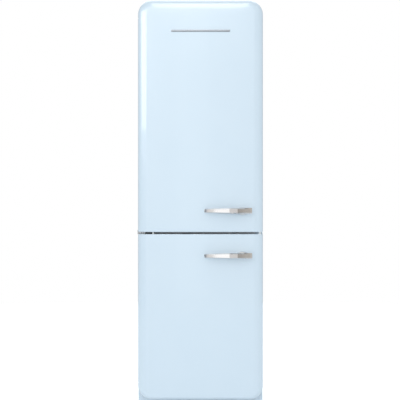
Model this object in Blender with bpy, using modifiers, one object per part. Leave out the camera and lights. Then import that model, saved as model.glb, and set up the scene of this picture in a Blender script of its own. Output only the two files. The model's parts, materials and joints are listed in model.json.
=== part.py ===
"""Tall two-door refrigerator-freezer with rounded corners and lever handles.

Metres, +Z up. The front faces -Y and the origin is on the floor below the middle of the body.
"""

import math

import bmesh
import bpy
from mathutils import Matrix, Vector

# Cabinet: outer size, sheet thickness and the plane of its front edge.
HALF_WIDTH = 0.3005
HEIGHT = 1.968
FLOOR_CLEARANCE = 0.022
FRONT = -0.230
CABINET_DEPTH = 0.560
TOP_RADIUS = 0.072
FOOT_RADIUS = 0.003
SHEET = 0.001
FLANGE = 0.036
CLEAR = 0.0003

# Doors: the plane of the rear edge, where the side starts to roll, and the shape of the face.
DOOR_REAR = 0.014
ROLL_START = 0.038
ROLL_DEPTH = 0.042
SIDE_ROLL = 0.045
CROWN = 0.012
GAP_EDGE = 0.006
GAP_HEIGHT = 0.8466
DOOR_GAP = 0.0106
CORNER_STEPS = 5
FACE_STEPS = 10
ROLL_STEPS = 6
LINER_RISE = 0.010
LINER_SHEET = 0.0015
PANEL_INSET = 0.0365
PANEL_GAP_INSET = 0.028

# Hinges: the pin axis, and the heights of the two hidden side hinges.
PIN_X = -0.287
PIN_Y = FRONT - 0.036
PIN_RADIUS = 0.004
TOP_HINGE_Z = 1.880
LOW_HINGE_Z = 0.125
ARM_HALF = 0.0025

# Rooms inside the cabinet.
ROOM_HALF = 0.2425
ROOM_BACK = 0.500
FRIDGE_FLOOR = 0.900
FRIDGE_CEILING = 1.910
FREEZER_FLOOR = 0.105
FREEZER_CEILING = 0.795
STEP_DEPTH = 0.270
STEP_HEIGHT = 0.310
NICHE_DEPTH = 0.3353
NICHE_HEIGHT = 0.250
NICHE_HALF = 0.262
ROOM_EDGE = 0.006
RAIL_HALF = 0.034

# Furniture of the rooms.
SHELF_HALF = 0.2385
SHELF_GLASS = 0.004
SHELF_FRONT = 0.1183
SHELF_BACK = 0.480
SHELF_HEIGHTS = (1.730, 1.560)
RACK_HEIGHT = 1.390
COVER_HEIGHT = 1.2565
CHILL_FLOOR = 1.108
FREEZER_SHELVES = (0.555, 0.325)
DYKE_HALF = 0.2003
BIN_REAR = 0.101
LID_PIVOT = (0.010, 1.800)

# Handles, along the lever from its tip to its root.
HANDLE_HEIGHTS = {"upper": 0.9532, "lower": 0.7386}
LEVER_TIP = 0.0174
LEVER_ROOT = 0.2455
LEVER_FACE = 0.132
BASE_CENTRE = 0.200
BASE_HALF_WIDTH = 0.0335
BASE_HALF_HEIGHT = 0.0185
BASE_SHIFT = 0.002

SHARP_ANGLE = math.radians(35)

FINISHES = {
    "enamel": ((0.67, 0.79, 0.88), 0.25, 0.0),
    "foam": ((0.86, 0.80, 0.55), 0.9, 0.0),
    "liner": ((0.88, 0.89, 0.90), 0.35, 0.0),
    "clear": ((0.80, 0.88, 0.90), 0.05, 0.0),
    "glass": ((0.78, 0.88, 0.86), 0.02, 0.0),
    "chrome": ((0.80, 0.80, 0.80), 0.10, 1.0),
    "steel": ((0.45, 0.46, 0.48), 0.35, 1.0),
    "zinc": ((0.60, 0.61, 0.62), 0.40, 1.0),
    "aluminium": ((0.75, 0.76, 0.77), 0.30, 1.0),
    "black": ((0.02, 0.02, 0.02), 0.45, 0.0),
    "rubber": ((0.78, 0.79, 0.80), 0.70, 0.0),
    "white": ((0.85, 0.86, 0.86), 0.40, 0.0),
}


def clear_scene():
    """Remove every object and return the collections for the parts and for the cutters."""
    for obj in list(bpy.data.objects):
        bpy.data.objects.remove(obj, do_unlink=True)
    collections = []
    for name in ("refrigerator", "cutters"):
        collection = bpy.data.collections.new(name)
        bpy.context.scene.collection.children.link(collection)
        collections.append(collection)
    return collections


PARTS, CUTTERS = clear_scene()


def back(depth):
    """World Y of a point this far behind the cabinet's front plane."""
    return FRONT + depth


def own_material(name, finish):
    """Make the part's own Principled material."""
    colour, roughness, metallic = FINISHES[finish]
    material = bpy.data.materials.new(name)
    material.use_nodes = True
    shader = material.node_tree.nodes["Principled BSDF"]
    shader.inputs["Base Color"].default_value = (*colour, 1.0)
    shader.inputs["Roughness"].default_value = roughness
    shader.inputs["Metallic"].default_value = metallic
    return material


def part_from(bm, name, finish, origin=(0.0, 0.0, 0.0)):
    """Turn a bmesh in world coordinates into a named part with its origin at the given point."""
    bmesh.ops.translate(bm, verts=bm.verts, vec=-Vector(origin))
    mesh = bpy.data.meshes.new(name)
    bm.to_mesh(mesh)
    bm.free()
    mesh.materials.append(own_material(name, finish))
    mesh.shade_smooth()
    mesh.set_sharp_from_angle(angle=SHARP_ANGLE)
    obj = bpy.data.objects.new(name, mesh)
    obj.location = origin
    PARTS.objects.link(obj)
    return obj


def helper_from(bm, name):
    """Turn a bmesh into a hidden helper object for a Boolean."""
    mesh = bpy.data.meshes.new(name)
    bm.to_mesh(mesh)
    bm.free()
    obj = bpy.data.objects.new(name, mesh)
    obj.hide_render = True
    obj.display_type = "WIRE"
    CUTTERS.objects.link(obj)
    return obj


def add_box(bm, low, high):
    """Add a box between two corners."""
    low, high = Vector(low), Vector(high)
    place = Matrix.Translation((low + high) / 2) @ Matrix.Diagonal((high - low).to_4d())
    return bmesh.ops.create_cube(bm, size=1.0, matrix=place)["verts"]


def add_cylinder(bm, start, end, radius, sides=16):
    """Add a capped cylinder between two points."""
    start, end = Vector(start), Vector(end)
    along = end - start
    place = Matrix.Translation((start + end) / 2) @ along.to_track_quat("Z", "Y").to_matrix().to_4x4()
    bmesh.ops.create_cone(
        bm, cap_ends=True, segments=sides, radius1=radius, radius2=radius, depth=along.length, matrix=place
    )


def boxes_mesh(boxes):
    """One bmesh with a box for each pair of corners."""
    bm = bmesh.new()
    for low, high in boxes:
        add_box(bm, low, high)
    return bm


def cylinders_mesh(cylinders, sides=16):
    """One bmesh with a cylinder for each (start, end, radius)."""
    bm = bmesh.new()
    for start, end, radius in cylinders:
        add_cylinder(bm, start, end, radius, sides)
    return bm


def combine(part, helper, operation="DIFFERENCE"):
    """Cut a helper out of a part, or join it on."""
    modifier = part.modifiers.new(helper.name, "BOOLEAN")
    modifier.operation = operation
    modifier.object = helper
    modifier.solver = "EXACT"


def box_part(name, low, high, finish, edge=0.0, origin=(0.0, 0.0, 0.0)):
    """A box with rounded edges."""
    obj = part_from(boxes_mesh([(low, high)]), name, finish, origin)
    if edge:
        round_edges(obj, edge)
    return obj


def round_edges(obj, width, segments=2):
    """Round the sharp edges with a Bevel."""
    bevel = obj.modifiers.new("rounded", "BEVEL")
    bevel.width = width
    bevel.segments = segments
    bevel.limit_method = "ANGLE"
    bevel.angle_limit = SHARP_ANGLE


def thicken(obj, thickness):
    """Give an open surface its thickness, on the side away from its normals."""
    solidify = obj.modifiers.new("sheet", "SOLIDIFY")
    solidify.thickness = thickness
    solidify.offset = -1.0
    solidify.use_even_offset = True


def turned_part(name, profile, centre, finish, steps=20):
    """Turn a (radius, height) profile, listed from top to bottom, about a vertical axis."""
    mesh = bpy.data.meshes.new(name)
    mesh.from_pydata([(radius, 0.0, height) for radius, height in profile],
                     [(i, i + 1) for i in range(len(profile) - 1)], [])
    mesh.materials.append(own_material(name, finish))
    obj = bpy.data.objects.new(name, mesh)
    obj.location = centre
    PARTS.objects.link(obj)
    screw = obj.modifiers.new("turn", "SCREW")
    screw.steps = steps
    screw.render_steps = steps
    screw.use_merge_vertices = True
    screw.merge_threshold = 0.0001
    return obj


def outline_part(name, outline, thickness, finish, location=(0.0, 0.0, 0.0), rotation=(0.0, 0.0, 0.0)):
    """A flat outline, filled and extruded to its thickness about its own plane."""
    curve = bpy.data.curves.new(name, "CURVE")
    curve.dimensions = "2D"
    curve.fill_mode = "BOTH"
    curve.extrude = thickness / 2
    spline = curve.splines.new("POLY")
    spline.points.add(len(outline) - 1)
    for point, (u, v) in zip(spline.points, outline):
        point.co = (u, v, 0.0, 1.0)
    spline.use_cyclic_u = True
    curve.materials.append(own_material(name, finish))
    obj = bpy.data.objects.new(name, curve)
    obj.location = location
    obj.rotation_euler = rotation
    PARTS.objects.link(obj)
    return obj


def as_mesh(curve_part):
    """Replace a curve object by the mesh it makes, so that a Boolean can use it."""
    bpy.context.view_layer.update()
    name = curve_part.name
    place = curve_part.matrix_world.copy()
    graph = bpy.context.evaluated_depsgraph_get()
    mesh = bpy.data.meshes.new_from_object(curve_part.evaluated_get(graph))
    bpy.data.objects.remove(curve_part, do_unlink=True)
    bm = bmesh.new()
    bm.from_mesh(mesh)
    bmesh.ops.remove_doubles(bm, verts=bm.verts, dist=0.00001)
    bm.to_mesh(mesh)
    bm.free()
    obj = bpy.data.objects.new(name, mesh)
    obj.matrix_world = place
    PARTS.objects.link(obj)
    return obj


def loft(bm, rings, cap_start=False, cap_end=False, loop=False):
    """Join rings of equal length by quads. A cap is a row of strips between the two halves of its ring."""
    loops = [[bm.verts.new(point) for point in ring] for ring in rings]
    count = len(loops[0])
    pairs = list(zip(loops, loops[1:]))
    if loop:
        pairs.append((loops[-1], loops[0]))
    for first, second in pairs:
        for i in range(count):
            j = (i + 1) % count
            bm.faces.new((first[i], first[j], second[j], second[i]))
    for wanted, ring in ((cap_start, loops[0][::-1]), (cap_end, loops[-1])):
        if not wanted:
            continue
        for i in range(count // 2 - 1):
            bm.faces.new((ring[i], ring[i + 1], ring[count - 2 - i], ring[count - 1 - i]))


def lofted_part(name, rings, finish, origin=(0.0, 0.0, 0.0), loop=False):
    """A closed solid through rings of equal length."""
    bm = bmesh.new()
    loft(bm, rings, cap_start=not loop, cap_end=not loop, loop=loop)
    bmesh.ops.recalc_face_normals(bm, faces=bm.faces)
    return part_from(bm, name, finish, origin)


def arc(centre, radii, start, end, steps):
    """Points on an elliptical arc, with angles in degrees."""
    points = []
    for step in range(steps + 1):
        angle = math.radians(start + (end - start) * step / steps)
        points.append((centre[0] + radii[0] * math.cos(angle), centre[1] + radii[1] * math.sin(angle)))
    return points


def cabinet_outline(inset, low=FLOOR_CLEARANCE):
    """The cabinet's (x, z) outline, seen from the front and anticlockwise, moved inwards."""
    half = HALF_WIDTH - inset
    radius = TOP_RADIUS - inset
    bottom = low + inset
    top = HEIGHT - inset - radius
    points = [(-half, bottom + FOOT_RADIUS), (-half + FOOT_RADIUS, bottom)]
    points += [(half - FOOT_RADIUS, bottom), (half, bottom + FOOT_RADIUS)]
    points += arc((half - radius, top), (radius, radius), 0, 90, CORNER_STEPS)
    points += arc((radius - half, top), (radius, radius), 90, 180, CORNER_STEPS)
    return points


def raised(outline, depth):
    """Place an (x, z) outline at a depth behind the cabinet's front plane."""
    return [(x, back(depth), z) for x, z in outline]


# --- cabinet ---------------------------------------------------------------------------------


def make_outer_casing():
    """Wrapped steel sheet with a flange folded inwards at the front."""
    bm = bmesh.new()
    loft(bm, [
        raised(cabinet_outline(0.0), CABINET_DEPTH),
        raised(cabinet_outline(0.0), 0.0),
        raised(cabinet_outline(FLANGE), 0.0),
    ])
    casing = part_from(bm, "outer_casing", "enamel")
    thicken(casing, SHEET)
    window = helper_from(boxes_mesh([(
        (-NICHE_HALF, back(NICHE_DEPTH - CLEAR), FLOOR_CLEARANCE - 0.01),
        (NICHE_HALF, back(CABINET_DEPTH + 0.01), FLOOR_CLEARANCE + 0.005),
    )]), "casing_window")
    combine(casing, window)
    combine(casing, foot_holes("casing_foot_holes"))
    return casing


def foot_centres():
    """Where the two front feet stand."""
    return [(side * 0.255, back(0.050)) for side in (-1, 1)]


def foot_holes(name):
    """Holes for the threaded stems of the front feet."""
    bm = cylinders_mesh([((x, y, 0.010), (x, y, 0.055), 0.0055) for x, y in foot_centres()])
    return helper_from(bm, name)


def room_cutter(bm, floor, ceiling, deep, grown=LINER_SHEET + CLEAR):
    """The space that a liner takes out of the foam."""
    half = ROOM_HALF + grown
    add_box(bm, (-half, back(-0.02), floor - grown), (half, back(deep + grown), ceiling + grown))


def make_foam_body():
    """Foam that fills the cabinet, with both rooms and the compressor niche left open."""
    front = 0.0031
    rear = 0.557
    foam = as_mesh(outline_part(
        "foam_body", cabinet_outline(SHEET + CLEAR), rear - front, "foam",
        (0.0, back((front + rear) / 2), 0.0), (math.pi / 2, 0.0, 0.0),
    ))
    rooms = (
        ("fridge", FRIDGE_FLOOR, FRIDGE_CEILING, ROOM_BACK),
        ("freezer_low", FREEZER_FLOOR, FREEZER_CEILING, STEP_DEPTH),
        ("freezer_high", STEP_HEIGHT, FREEZER_CEILING, ROOM_BACK),
    )
    for name, floor, ceiling, deep in rooms:
        bm = bmesh.new()
        room_cutter(bm, floor, ceiling, deep)
        combine(foam, helper_from(bm, name + "_room"))
    edge = ROOM_EDGE + 0.0025
    for name, floor, ceiling in (("fridge", FRIDGE_FLOOR, FRIDGE_CEILING),
                                 ("freezer", FREEZER_FLOOR, FREEZER_CEILING)):
        bm = boxes_mesh([(
            (-ROOM_HALF - edge, back(-0.02), floor - edge),
            (ROOM_HALF + edge, back(edge + 0.003), ceiling + edge),
        )])
        combine(foam, helper_from(bm, name + "_mouth"))
    step_edge = boxes_mesh([(
        (-ROOM_HALF - 0.0018, back(STEP_DEPTH - 0.01), STEP_HEIGHT - ROOM_EDGE),
        (ROOM_HALF + 0.0018, back(STEP_DEPTH + ROOM_EDGE), STEP_HEIGHT + 0.01),
    )])
    combine(foam, helper_from(step_edge, "step_edge"))
    niche = boxes_mesh([(
        (-NICHE_HALF, back(NICHE_DEPTH), 0.0), (NICHE_HALF, back(0.60), NICHE_HEIGHT)
    )])
    combine(foam, helper_from(niche, "compressor_niche"))
    combine(foam, foot_holes("foam_foot_holes"))
    combine(foam, switch_hole("foam_switch_hole"))
    return foam


def make_liner(name, floor_path, flange_low, flange_high, ledges):
    """Moulded liner: a room whose side profile is floor_path, with a flange round its mouth."""
    bm = bmesh.new()
    front = 0.0013
    path = [(front, floor_path[0][1]), *floor_path, (front, floor_path[-1][1])]
    sides = []
    for x in (-ROOM_HALF, ROOM_HALF):
        sides.append([bm.verts.new((x, back(depth), z)) for depth, z in path])
    left, right = sides
    for i in range(len(path) - 1):
        bm.faces.new((left[i], right[i], right[i + 1], left[i + 1]))
    bm.faces.new(left)
    bm.faces.new(right[::-1])
    half = ROOM_HALF + 0.0277
    mouth = [left[0], right[0], right[-1], left[-1]]
    rim = [bm.verts.new((x, back(front), z)) for x, z in (
        (-half, flange_low), (half, flange_low), (half, flange_high), (-half, flange_high))]
    for i in range(4):
        j = (i + 1) % 4
        bm.faces.new((rim[i], rim[j], mouth[j], mouth[i]))
    liner = part_from(bm, name, "liner")
    round_edges(liner, ROOM_EDGE)
    thicken(liner, LINER_SHEET)
    boxes = []
    for top, start, inner in ledges:
        for side in (-1, 1):
            xs = sorted((side * inner, side * (ROOM_HALF + 0.0008)))
            boxes.append(((xs[0], back(start), top - 0.006), (xs[1], back(SHELF_BACK - 0.02), top)))
    combine(liner, helper_from(boxes_mesh(boxes), name + "_ledges"), "UNION")
    return liner


def make_liners():
    """Both liners, with ledges under the shelves, the rack, the cover and the chill drawer."""
    ledge = 0.2330
    tops = [height - CLEAR for height in (*SHELF_HEIGHTS, RACK_HEIGHT, COVER_HEIGHT)]
    ledges = [(top, 0.130, ledge) for top in tops] + [(CHILL_FLOOR - CLEAR, 0.150, 0.2300)]
    fridge = make_liner(
        "fridge_liner", [(ROOM_BACK, FRIDGE_FLOOR), (ROOM_BACK, FRIDGE_CEILING)], 0.872, 1.938, ledges
    )
    combine(fridge, switch_hole("liner_switch_hole"))
    freezer_path = [
        (STEP_DEPTH, FREEZER_FLOOR), (STEP_DEPTH, STEP_HEIGHT), (ROOM_BACK, STEP_HEIGHT),
        (ROOM_BACK, FREEZER_CEILING),
    ]
    ledges = [(height - CLEAR, 0.060, ledge) for height in FREEZER_SHELVES]
    make_liner("freezer_liner", freezer_path, 0.052, 0.822, ledges)


def switch_place():
    """Where the door switch sits, in (x, z)."""
    return 0.120, 1.920


def switch_hole(name):
    """The hole that the door switch's plunger slides in."""
    x, z = switch_place()
    return helper_from(cylinders_mesh([((x, back(-0.01), z), (x, back(0.030), z), 0.003)]), name)


def make_cross_rail():
    """Steel strip across the front, between the two rooms."""
    half = HALF_WIDTH - FLANGE - CLEAR
    box_part("cross_rail", (-half, back(0.0), GAP_HEIGHT - RAIL_HALF),
             (half, back(SHEET), GAP_HEIGHT + RAIL_HALF), "enamel")


def make_rear_panel():
    """Sheet that closes the back round the niche, with four clips that hold the condenser."""
    panel = as_mesh(outline_part(
        "rear_panel", cabinet_outline(SHEET + CLEAR), SHEET, "zinc",
        (0.0, back(0.5578), 0.0), (math.pi / 2, 0.0, 0.0),
    ))
    mouth = boxes_mesh([((-NICHE_HALF, back(0.55), 0.0), (NICHE_HALF, back(0.57), NICHE_HEIGHT))])
    combine(panel, helper_from(mouth, "niche_mouth"))
    boxes = []
    for side in (-1, 1):
        for z in (0.50, 1.58):
            low = (side * 0.15 - 0.006, back(0.5578), z)
            boxes.append((low, (side * 0.15 + 0.006, back(0.5868), z + 0.16)))
    combine(panel, helper_from(boxes_mesh(boxes), "condenser_clips"), "UNION")


def make_base_pan():
    """Steel tray under the compressor, with the lugs of the rear rollers."""
    half = NICHE_HALF - CLEAR
    pan = part_from(boxes_mesh([(
        (-half, back(NICHE_DEPTH), FLOOR_CLEARANCE),
        (half, back(CABINET_DEPTH - CLEAR), FLOOR_CLEARANCE + 0.0015),
    )]), "base_pan", "zinc")
    lugs = []
    for x, y, _ in roller_centres():
        for side in (-1, 1):
            middle = x + side * 0.0105
            low = (middle - 0.001, y - 0.012, 0.003)
            lugs.append((low, (middle + 0.001, y + 0.012, FLOOR_CLEARANCE + 0.001)))
    combine(pan, helper_from(boxes_mesh(lugs), "roller_lugs"), "UNION")
    bores = [((x - 0.02, y, z), (x + 0.02, y, z), 0.0034) for x, y, z in roller_centres()]
    combine(pan, helper_from(cylinders_mesh(bores), "roller_bores"))


def roller_centres():
    """Axle centres of the two rear rollers."""
    return [(side * 0.235, back(0.500), 0.0105) for side in (-1, 1)]


def make_feet_and_rollers():
    """Turning front feet with threaded stems, and rear rollers with their axles."""
    profile = [(0.0, 0.045), (0.0045, 0.045), (0.0045, 0.0217), (0.011, 0.0217), (0.011, 0.009),
               (0.018, 0.009), (0.020, 0.006), (0.020, 0.0), (0.0, 0.0)]
    for name, (x, y) in zip(("front_foot_left", "front_foot_right"), foot_centres()):
        turned_part(name, profile, (x, y, 0.0), "black", 16)
    for name, centre in zip(("rear_roller_left", "rear_roller_right"), roller_centres()):
        x, y, z = centre
        wheel = cylinders_mesh([((x - 0.009, y, z), (x + 0.009, y, z), z)], 20)
        roller = part_from(wheel, name, "black", centre)
        axle = cylinders_mesh([((x - 0.013, y, z), (x + 0.013, y, z), 0.003)])
        combine(roller, helper_from(axle, name + "_axle"), "UNION")


# --- cooling system --------------------------------------------------------------------------


def make_compressor():
    """Welded compressor shell with its relay box, and the drip tray on top of it."""
    x, y = -0.090, back(0.445)
    base = FLOOR_CLEARANCE + 0.0018
    profile = [(0.0, 0.175), (0.026, 0.172), (0.048, 0.158), (0.060, 0.132), (0.062, 0.098), (0.067, 0.096),
               (0.067, 0.090), (0.062, 0.088), (0.060, 0.040), (0.046, 0.018), (0.040, 0.0), (0.0, 0.0)]
    turned_part("compressor", profile, (x, y, base), "black", 24)
    box_part("relay_box", (x + 0.0685, y - 0.028, base), (x + 0.108, y + 0.028, 0.120), "black", 0.004)
    make_tray("drip_tray", 0.075, 0.205, 0.226, 0.385, 0.505, "black", middle=x)


def make_condenser_tube():
    """Wire-thin serpentine on the back of the cabinet."""
    rows, low, high, half = 15, 0.340, 1.840, 0.190
    pitch = (high - low) / (rows - 1)
    points = []
    for row in range(rows):
        side = 1 if row % 2 else -1
        z = low + row * pitch
        points.append((side * -half, z))
        if row < rows - 1:
            points += arc((side * half, z + pitch / 2), (side * pitch / 2, pitch / 2), -90, 90, 5)
        else:
            points.append((side * half, z))
    curve = bpy.data.curves.new("condenser_tube", "CURVE")
    curve.dimensions = "3D"
    curve.bevel_depth = 0.0024
    curve.bevel_resolution = 1
    curve.use_fill_caps = True
    spline = curve.splines.new("POLY")
    spline.points.add(len(points) - 1)
    for point, (x, z) in zip(spline.points, points):
        point.co = (x, 0.0, z, 1.0)
    curve.materials.append(own_material("condenser_tube", "black"))
    tube = bpy.data.objects.new("condenser_tube", curve)
    tube.location = (0.0, back(0.5896), 0.0)
    PARTS.objects.link(tube)


def make_evaporator():
    """Finned block behind the freezer's air cover."""
    block = box_part("evaporator", (-0.180, back(0.474), 0.340), (0.180, back(0.4970), 0.560), "aluminium")
    grooves = []
    for step in range(9):
        x = -0.160 + 0.040 * step
        grooves.append(((x - 0.012, back(0.47), 0.33), (x + 0.012, back(0.490), 0.57)))
    combine(block, helper_from(boxes_mesh(grooves), "evaporator_grooves"))


def fan_centre():
    """Centre of the freezer fan."""
    return 0.0, back(0.4665), 0.680


def make_freezer_duct():
    """Cover over the evaporator with air slots, the fan motor behind it and the fan rotor."""
    bm = boxes_mesh([((-0.215, back(0.452), 0.3170), (0.215, back(0.4997), 0.788))])
    cover = part_from(bm, "freezer_duct_cover", "liner")
    hollow = boxes_mesh([((-0.2125, back(0.4545), 0.3195), (0.2125, back(0.51), 0.7855))])
    combine(cover, helper_from(hollow, "duct_hollow"))
    x, y, z = fan_centre()
    mouth = cylinders_mesh([((x, y - 0.05, z), (x, y + 0.05, z), 0.048)], 24)
    combine(cover, helper_from(mouth, "fan_mouth"))
    slots = []
    for side in (-1, 1):
        for step in range(4):
            low = 0.600 + 0.028 * step
            xs = sorted((side * 0.070, side * 0.180))
            slots.append(((xs[0], back(0.44), low), (xs[1], back(0.46), low + 0.010)))
    for step in range(5):
        middle = -0.140 + 0.070 * step
        slots.append(((middle - 0.022, back(0.44), 0.335), (middle + 0.022, back(0.46), 0.345)))
    combine(cover, helper_from(boxes_mesh(slots), "duct_slots"))
    motor = part_from(cylinders_mesh([((x, y + 0.0085, z), (x, back(0.4997), z), 0.020)], 20),
                      "fan_motor", "black")
    arms = boxes_mesh([((-0.046, back(0.490), z - 0.004), (0.046, back(0.4997), z + 0.004))])
    combine(motor, helper_from(arms, "motor_arms"), "UNION")
    rotor = part_from(cylinders_mesh([((x, y - 0.008, z), (x, y + 0.008, z), 0.013)], 20),
                      "fan_rotor", "black", fan_centre())
    bm = bmesh.new()
    for blade in range(5):
        verts = add_box(bm, (0.0105, -0.007, -0.0008), (0.042, 0.007, 0.0008))
        pitch = Matrix.Rotation(math.radians(35), 4, "X")
        turn = Matrix.Rotation(math.radians(72 * blade), 4, "Y")
        bmesh.ops.transform(bm, matrix=Matrix.Translation((x, y, z)) @ turn @ pitch, verts=verts)
    combine(rotor, helper_from(bm, "fan_blades"), "UNION")


def make_fridge_duct():
    """Air duct on the rear wall of the fridge, with pairs of outlets."""
    duct = box_part("fridge_duct", (-0.060, back(0.484), 1.290), (0.060, back(ROOM_BACK - CLEAR), 1.880),
                    "liner", 0.004)
    outlets = []
    for z in (1.345, 1.480, 1.650, 1.820):
        for side in (-1, 1):
            low = (side * 0.030 - 0.018, back(0.47), z - 0.006)
            outlets.append((low, (side * 0.030 + 0.018, back(0.492), z + 0.006)))
    combine(duct, helper_from(boxes_mesh(outlets), "duct_outlets"))


def make_mains_inlet():
    """Socket on the back where the supply lead plugs in."""
    low = (0.186, back(0.5586), 0.262)
    inlet = box_part("mains_inlet", low, (0.222, back(0.5750), 0.290), "black", 0.002)
    mouth = boxes_mesh([((0.191, back(0.562), 0.267), (0.217, back(0.58), 0.285))])
    combine(inlet, helper_from(mouth, "inlet_mouth"))


# --- furniture of the rooms ------------------------------------------------------------------


def make_tray(name, half, low, high, front, rear, finish, middle=0.0, wall=0.002, grip=0.0):
    """An open-topped moulded tray, with a lip along its front edge where it has a grip."""
    bm = boxes_mesh([((middle - half, back(front + grip), low), (middle + half, back(rear), high))])
    bm.normal_update()
    top = [face for face in bm.faces if face.normal.z > 0.5]
    bmesh.ops.delete(bm, geom=top, context="FACES_ONLY")
    tray = part_from(bm, name, finish, (middle, back((front + rear) / 2), (low + high) / 2))
    round_edges(tray, 0.006)
    thicken(tray, wall)
    if grip:
        lip = boxes_mesh([((middle - half * 0.6, back(front), high - 0.016),
                           (middle + half * 0.6, back(front + grip + wall / 2), high - 0.012))])
        combine(tray, helper_from(lip, name + "_lip"), "UNION")
    return tray


def make_fridge_furniture():
    """Glass shelves with front trims, the bottle rack, the glass cover and the two drawers."""
    for number, height in enumerate(SHELF_HEIGHTS, 1):
        box_part(f"shelf_glass_{number}", (-SHELF_HALF, back(SHELF_FRONT), height),
                 (SHELF_HALF, back(SHELF_BACK), height + SHELF_GLASS), "glass")
        box_part(f"shelf_trim_{number}", (-SHELF_HALF, back(0.106), height - 0.006),
                 (SHELF_HALF, back(SHELF_FRONT - CLEAR), height + 0.008), "chrome", 0.002)
    box_part("crisper_cover", (-SHELF_HALF, back(0.125), COVER_HEIGHT),
             (SHELF_HALF, back(SHELF_BACK), COVER_HEIGHT + SHELF_GLASS), "glass")
    make_bottle_rack()
    make_tray("chill_drawer", 0.2360, CHILL_FLOOR, 1.248, 0.120, 0.470, "clear", grip=0.010)
    make_tray("crisper_drawer", 0.2250, FRIDGE_FLOOR + CLEAR, 1.098, 0.120, 0.470, "clear", grip=0.010)


def make_bottle_rack():
    """Wave-shaped rack for five lying bottles."""
    periods, steps, depth, sheet = 5, 8, 0.020, 0.003
    count = periods * steps
    top = []
    for step in range(count + 1):
        x = -SHELF_HALF + 2 * SHELF_HALF * step / count
        top.append((x, RACK_HEIGHT + sheet + depth * (1 + math.cos(2 * math.pi * step / steps)) / 2))
    bottom = [(x, z - sheet) for x, z in reversed(top)]
    outline_part("bottle_rack", top + bottom, SHELF_BACK - 0.125, "chrome",
                 (0.0, back((SHELF_BACK + 0.125) / 2), 0.0), (math.pi / 2, 0.0, 0.0))


def make_freezer_furniture():
    """Two glass shelves and three drawers. The lowest drawer is short, over the compressor step."""
    for number, height in enumerate(FREEZER_SHELVES, 1):
        box_part(f"freezer_shelf_{number}", (-SHELF_HALF, back(0.052), height),
                 (SHELF_HALF, back(0.448), height + SHELF_GLASS), "glass")
    upper, lower = (height + SHELF_GLASS + CLEAR for height in FREEZER_SHELVES)
    drawers = ((upper, 0.775, 0.440), (lower, 0.540, 0.440), (FREEZER_FLOOR + CLEAR, 0.300, 0.258))
    for number, (low, high, rear) in enumerate(drawers, 1):
        make_tray(f"freezer_drawer_{number}", 0.2275, low, high, 0.039, rear, "clear", grip=0.010)


def make_control_panel():
    """Ceiling panel with two push buttons, the lamp cover and the door switch."""
    front, ceiling = 0.125, FRIDGE_CEILING - CLEAR
    low = (-0.110, back(front), 1.884)
    panel = box_part("control_panel", low, (0.110, back(0.215), ceiling), "white", 0.003)
    places = {"power_button": (-0.060, 1.897), "temp_button": (0.060, 1.897)}
    for name, (x, z) in places.items():
        recess = cylinders_mesh([((x, back(front - 0.01), z), (x, back(0.1335), z), 0.0074)], 20)
        combine(panel, helper_from(recess, name + "_recess"))
        button = cylinders_mesh([((x, back(0.1215), z), (x, back(0.1315), z), 0.0068)], 20)
        part_from(button, name, "zinc", (x, back(0.1265), z))
    box_part("lamp_cover", (-0.070, back(0.240), 1.898), (0.070, back(0.340), ceiling), "clear", 0.004)
    x, z = switch_place()
    plunger = cylinders_mesh([((x, back(-0.0035), z), (x, back(0.020), z), 0.0025)], 12)
    part_from(plunger, "door_switch", "white", (x, back(0.0), z))


# --- hinges ----------------------------------------------------------------------------------


def fused_part(name, bodies, finish):
    """Join overlapping bmesh bodies into one part."""
    part = part_from(bodies[0], name, finish)
    for number, body in enumerate(bodies[1:], 1):
        combine(part, helper_from(body, f"{name}_piece_{number}"), "UNION")
    return part


def pin(z, reach):
    """A vertical pin on the hinge axis."""
    return cylinders_mesh([((PIN_X, PIN_Y, z - reach), (PIN_X, PIN_Y, z + reach), PIN_RADIUS)])


def make_side_hinge(name, z):
    """Plate on the cabinet's front flange, with an arm and a pin that a slot in the door hides."""
    plate = boxes_mesh([((-0.2985, back(-0.0033), z - 0.0135), (-0.2795, back(-CLEAR), z + 0.0135))])
    arm = boxes_mesh([((PIN_X - 0.006, PIN_Y, z - ARM_HALF), (PIN_X + 0.006, back(-0.003), z + ARM_HALF))])
    eye = cylinders_mesh([((PIN_X, PIN_Y, z - ARM_HALF), (PIN_X, PIN_Y, z + ARM_HALF), 0.007)])
    fused_part(name, [plate, arm, eye, pin(z, 0.012)], "steel")


def make_middle_hinge():
    """Bracket between the doors, with a pin for each door and an ear round the cabinet's side."""
    z, left, right = GAP_HEIGHT, -0.2985, -0.2250
    side = -HALF_WIDTH - CLEAR
    plate = boxes_mesh([((left, back(-0.0033), z - 0.0165), (right + 0.0005, back(-CLEAR), z + 0.0165))])
    arm = boxes_mesh([((left, back(-0.050), z - ARM_HALF), (PIN_X + 0.0115, back(-0.003), z + ARM_HALF))])
    web = boxes_mesh([((left + 0.001, back(-0.020), z - 0.0022), (right - 0.001, back(-0.002), z + 0.0022))])
    lug = boxes_mesh([((right - 0.004, back(-0.078), z - 0.0045), (right, back(-0.0028), z + 0.0045))])
    low = (side - 0.0042, back(-0.0031), z - 0.0075)
    neck = boxes_mesh([(low, (left + 0.002, back(-0.0005), z + 0.0125))])
    ear = boxes_mesh([((side - 0.0042, back(-0.0031), z - 0.0075), (side, back(0.028), z + 0.0125))])
    fused_part("middle_hinge", [plate, arm, web, lug, neck, ear, pin(z, 0.0175)], "steel")
    make_hinge_cover()


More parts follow.
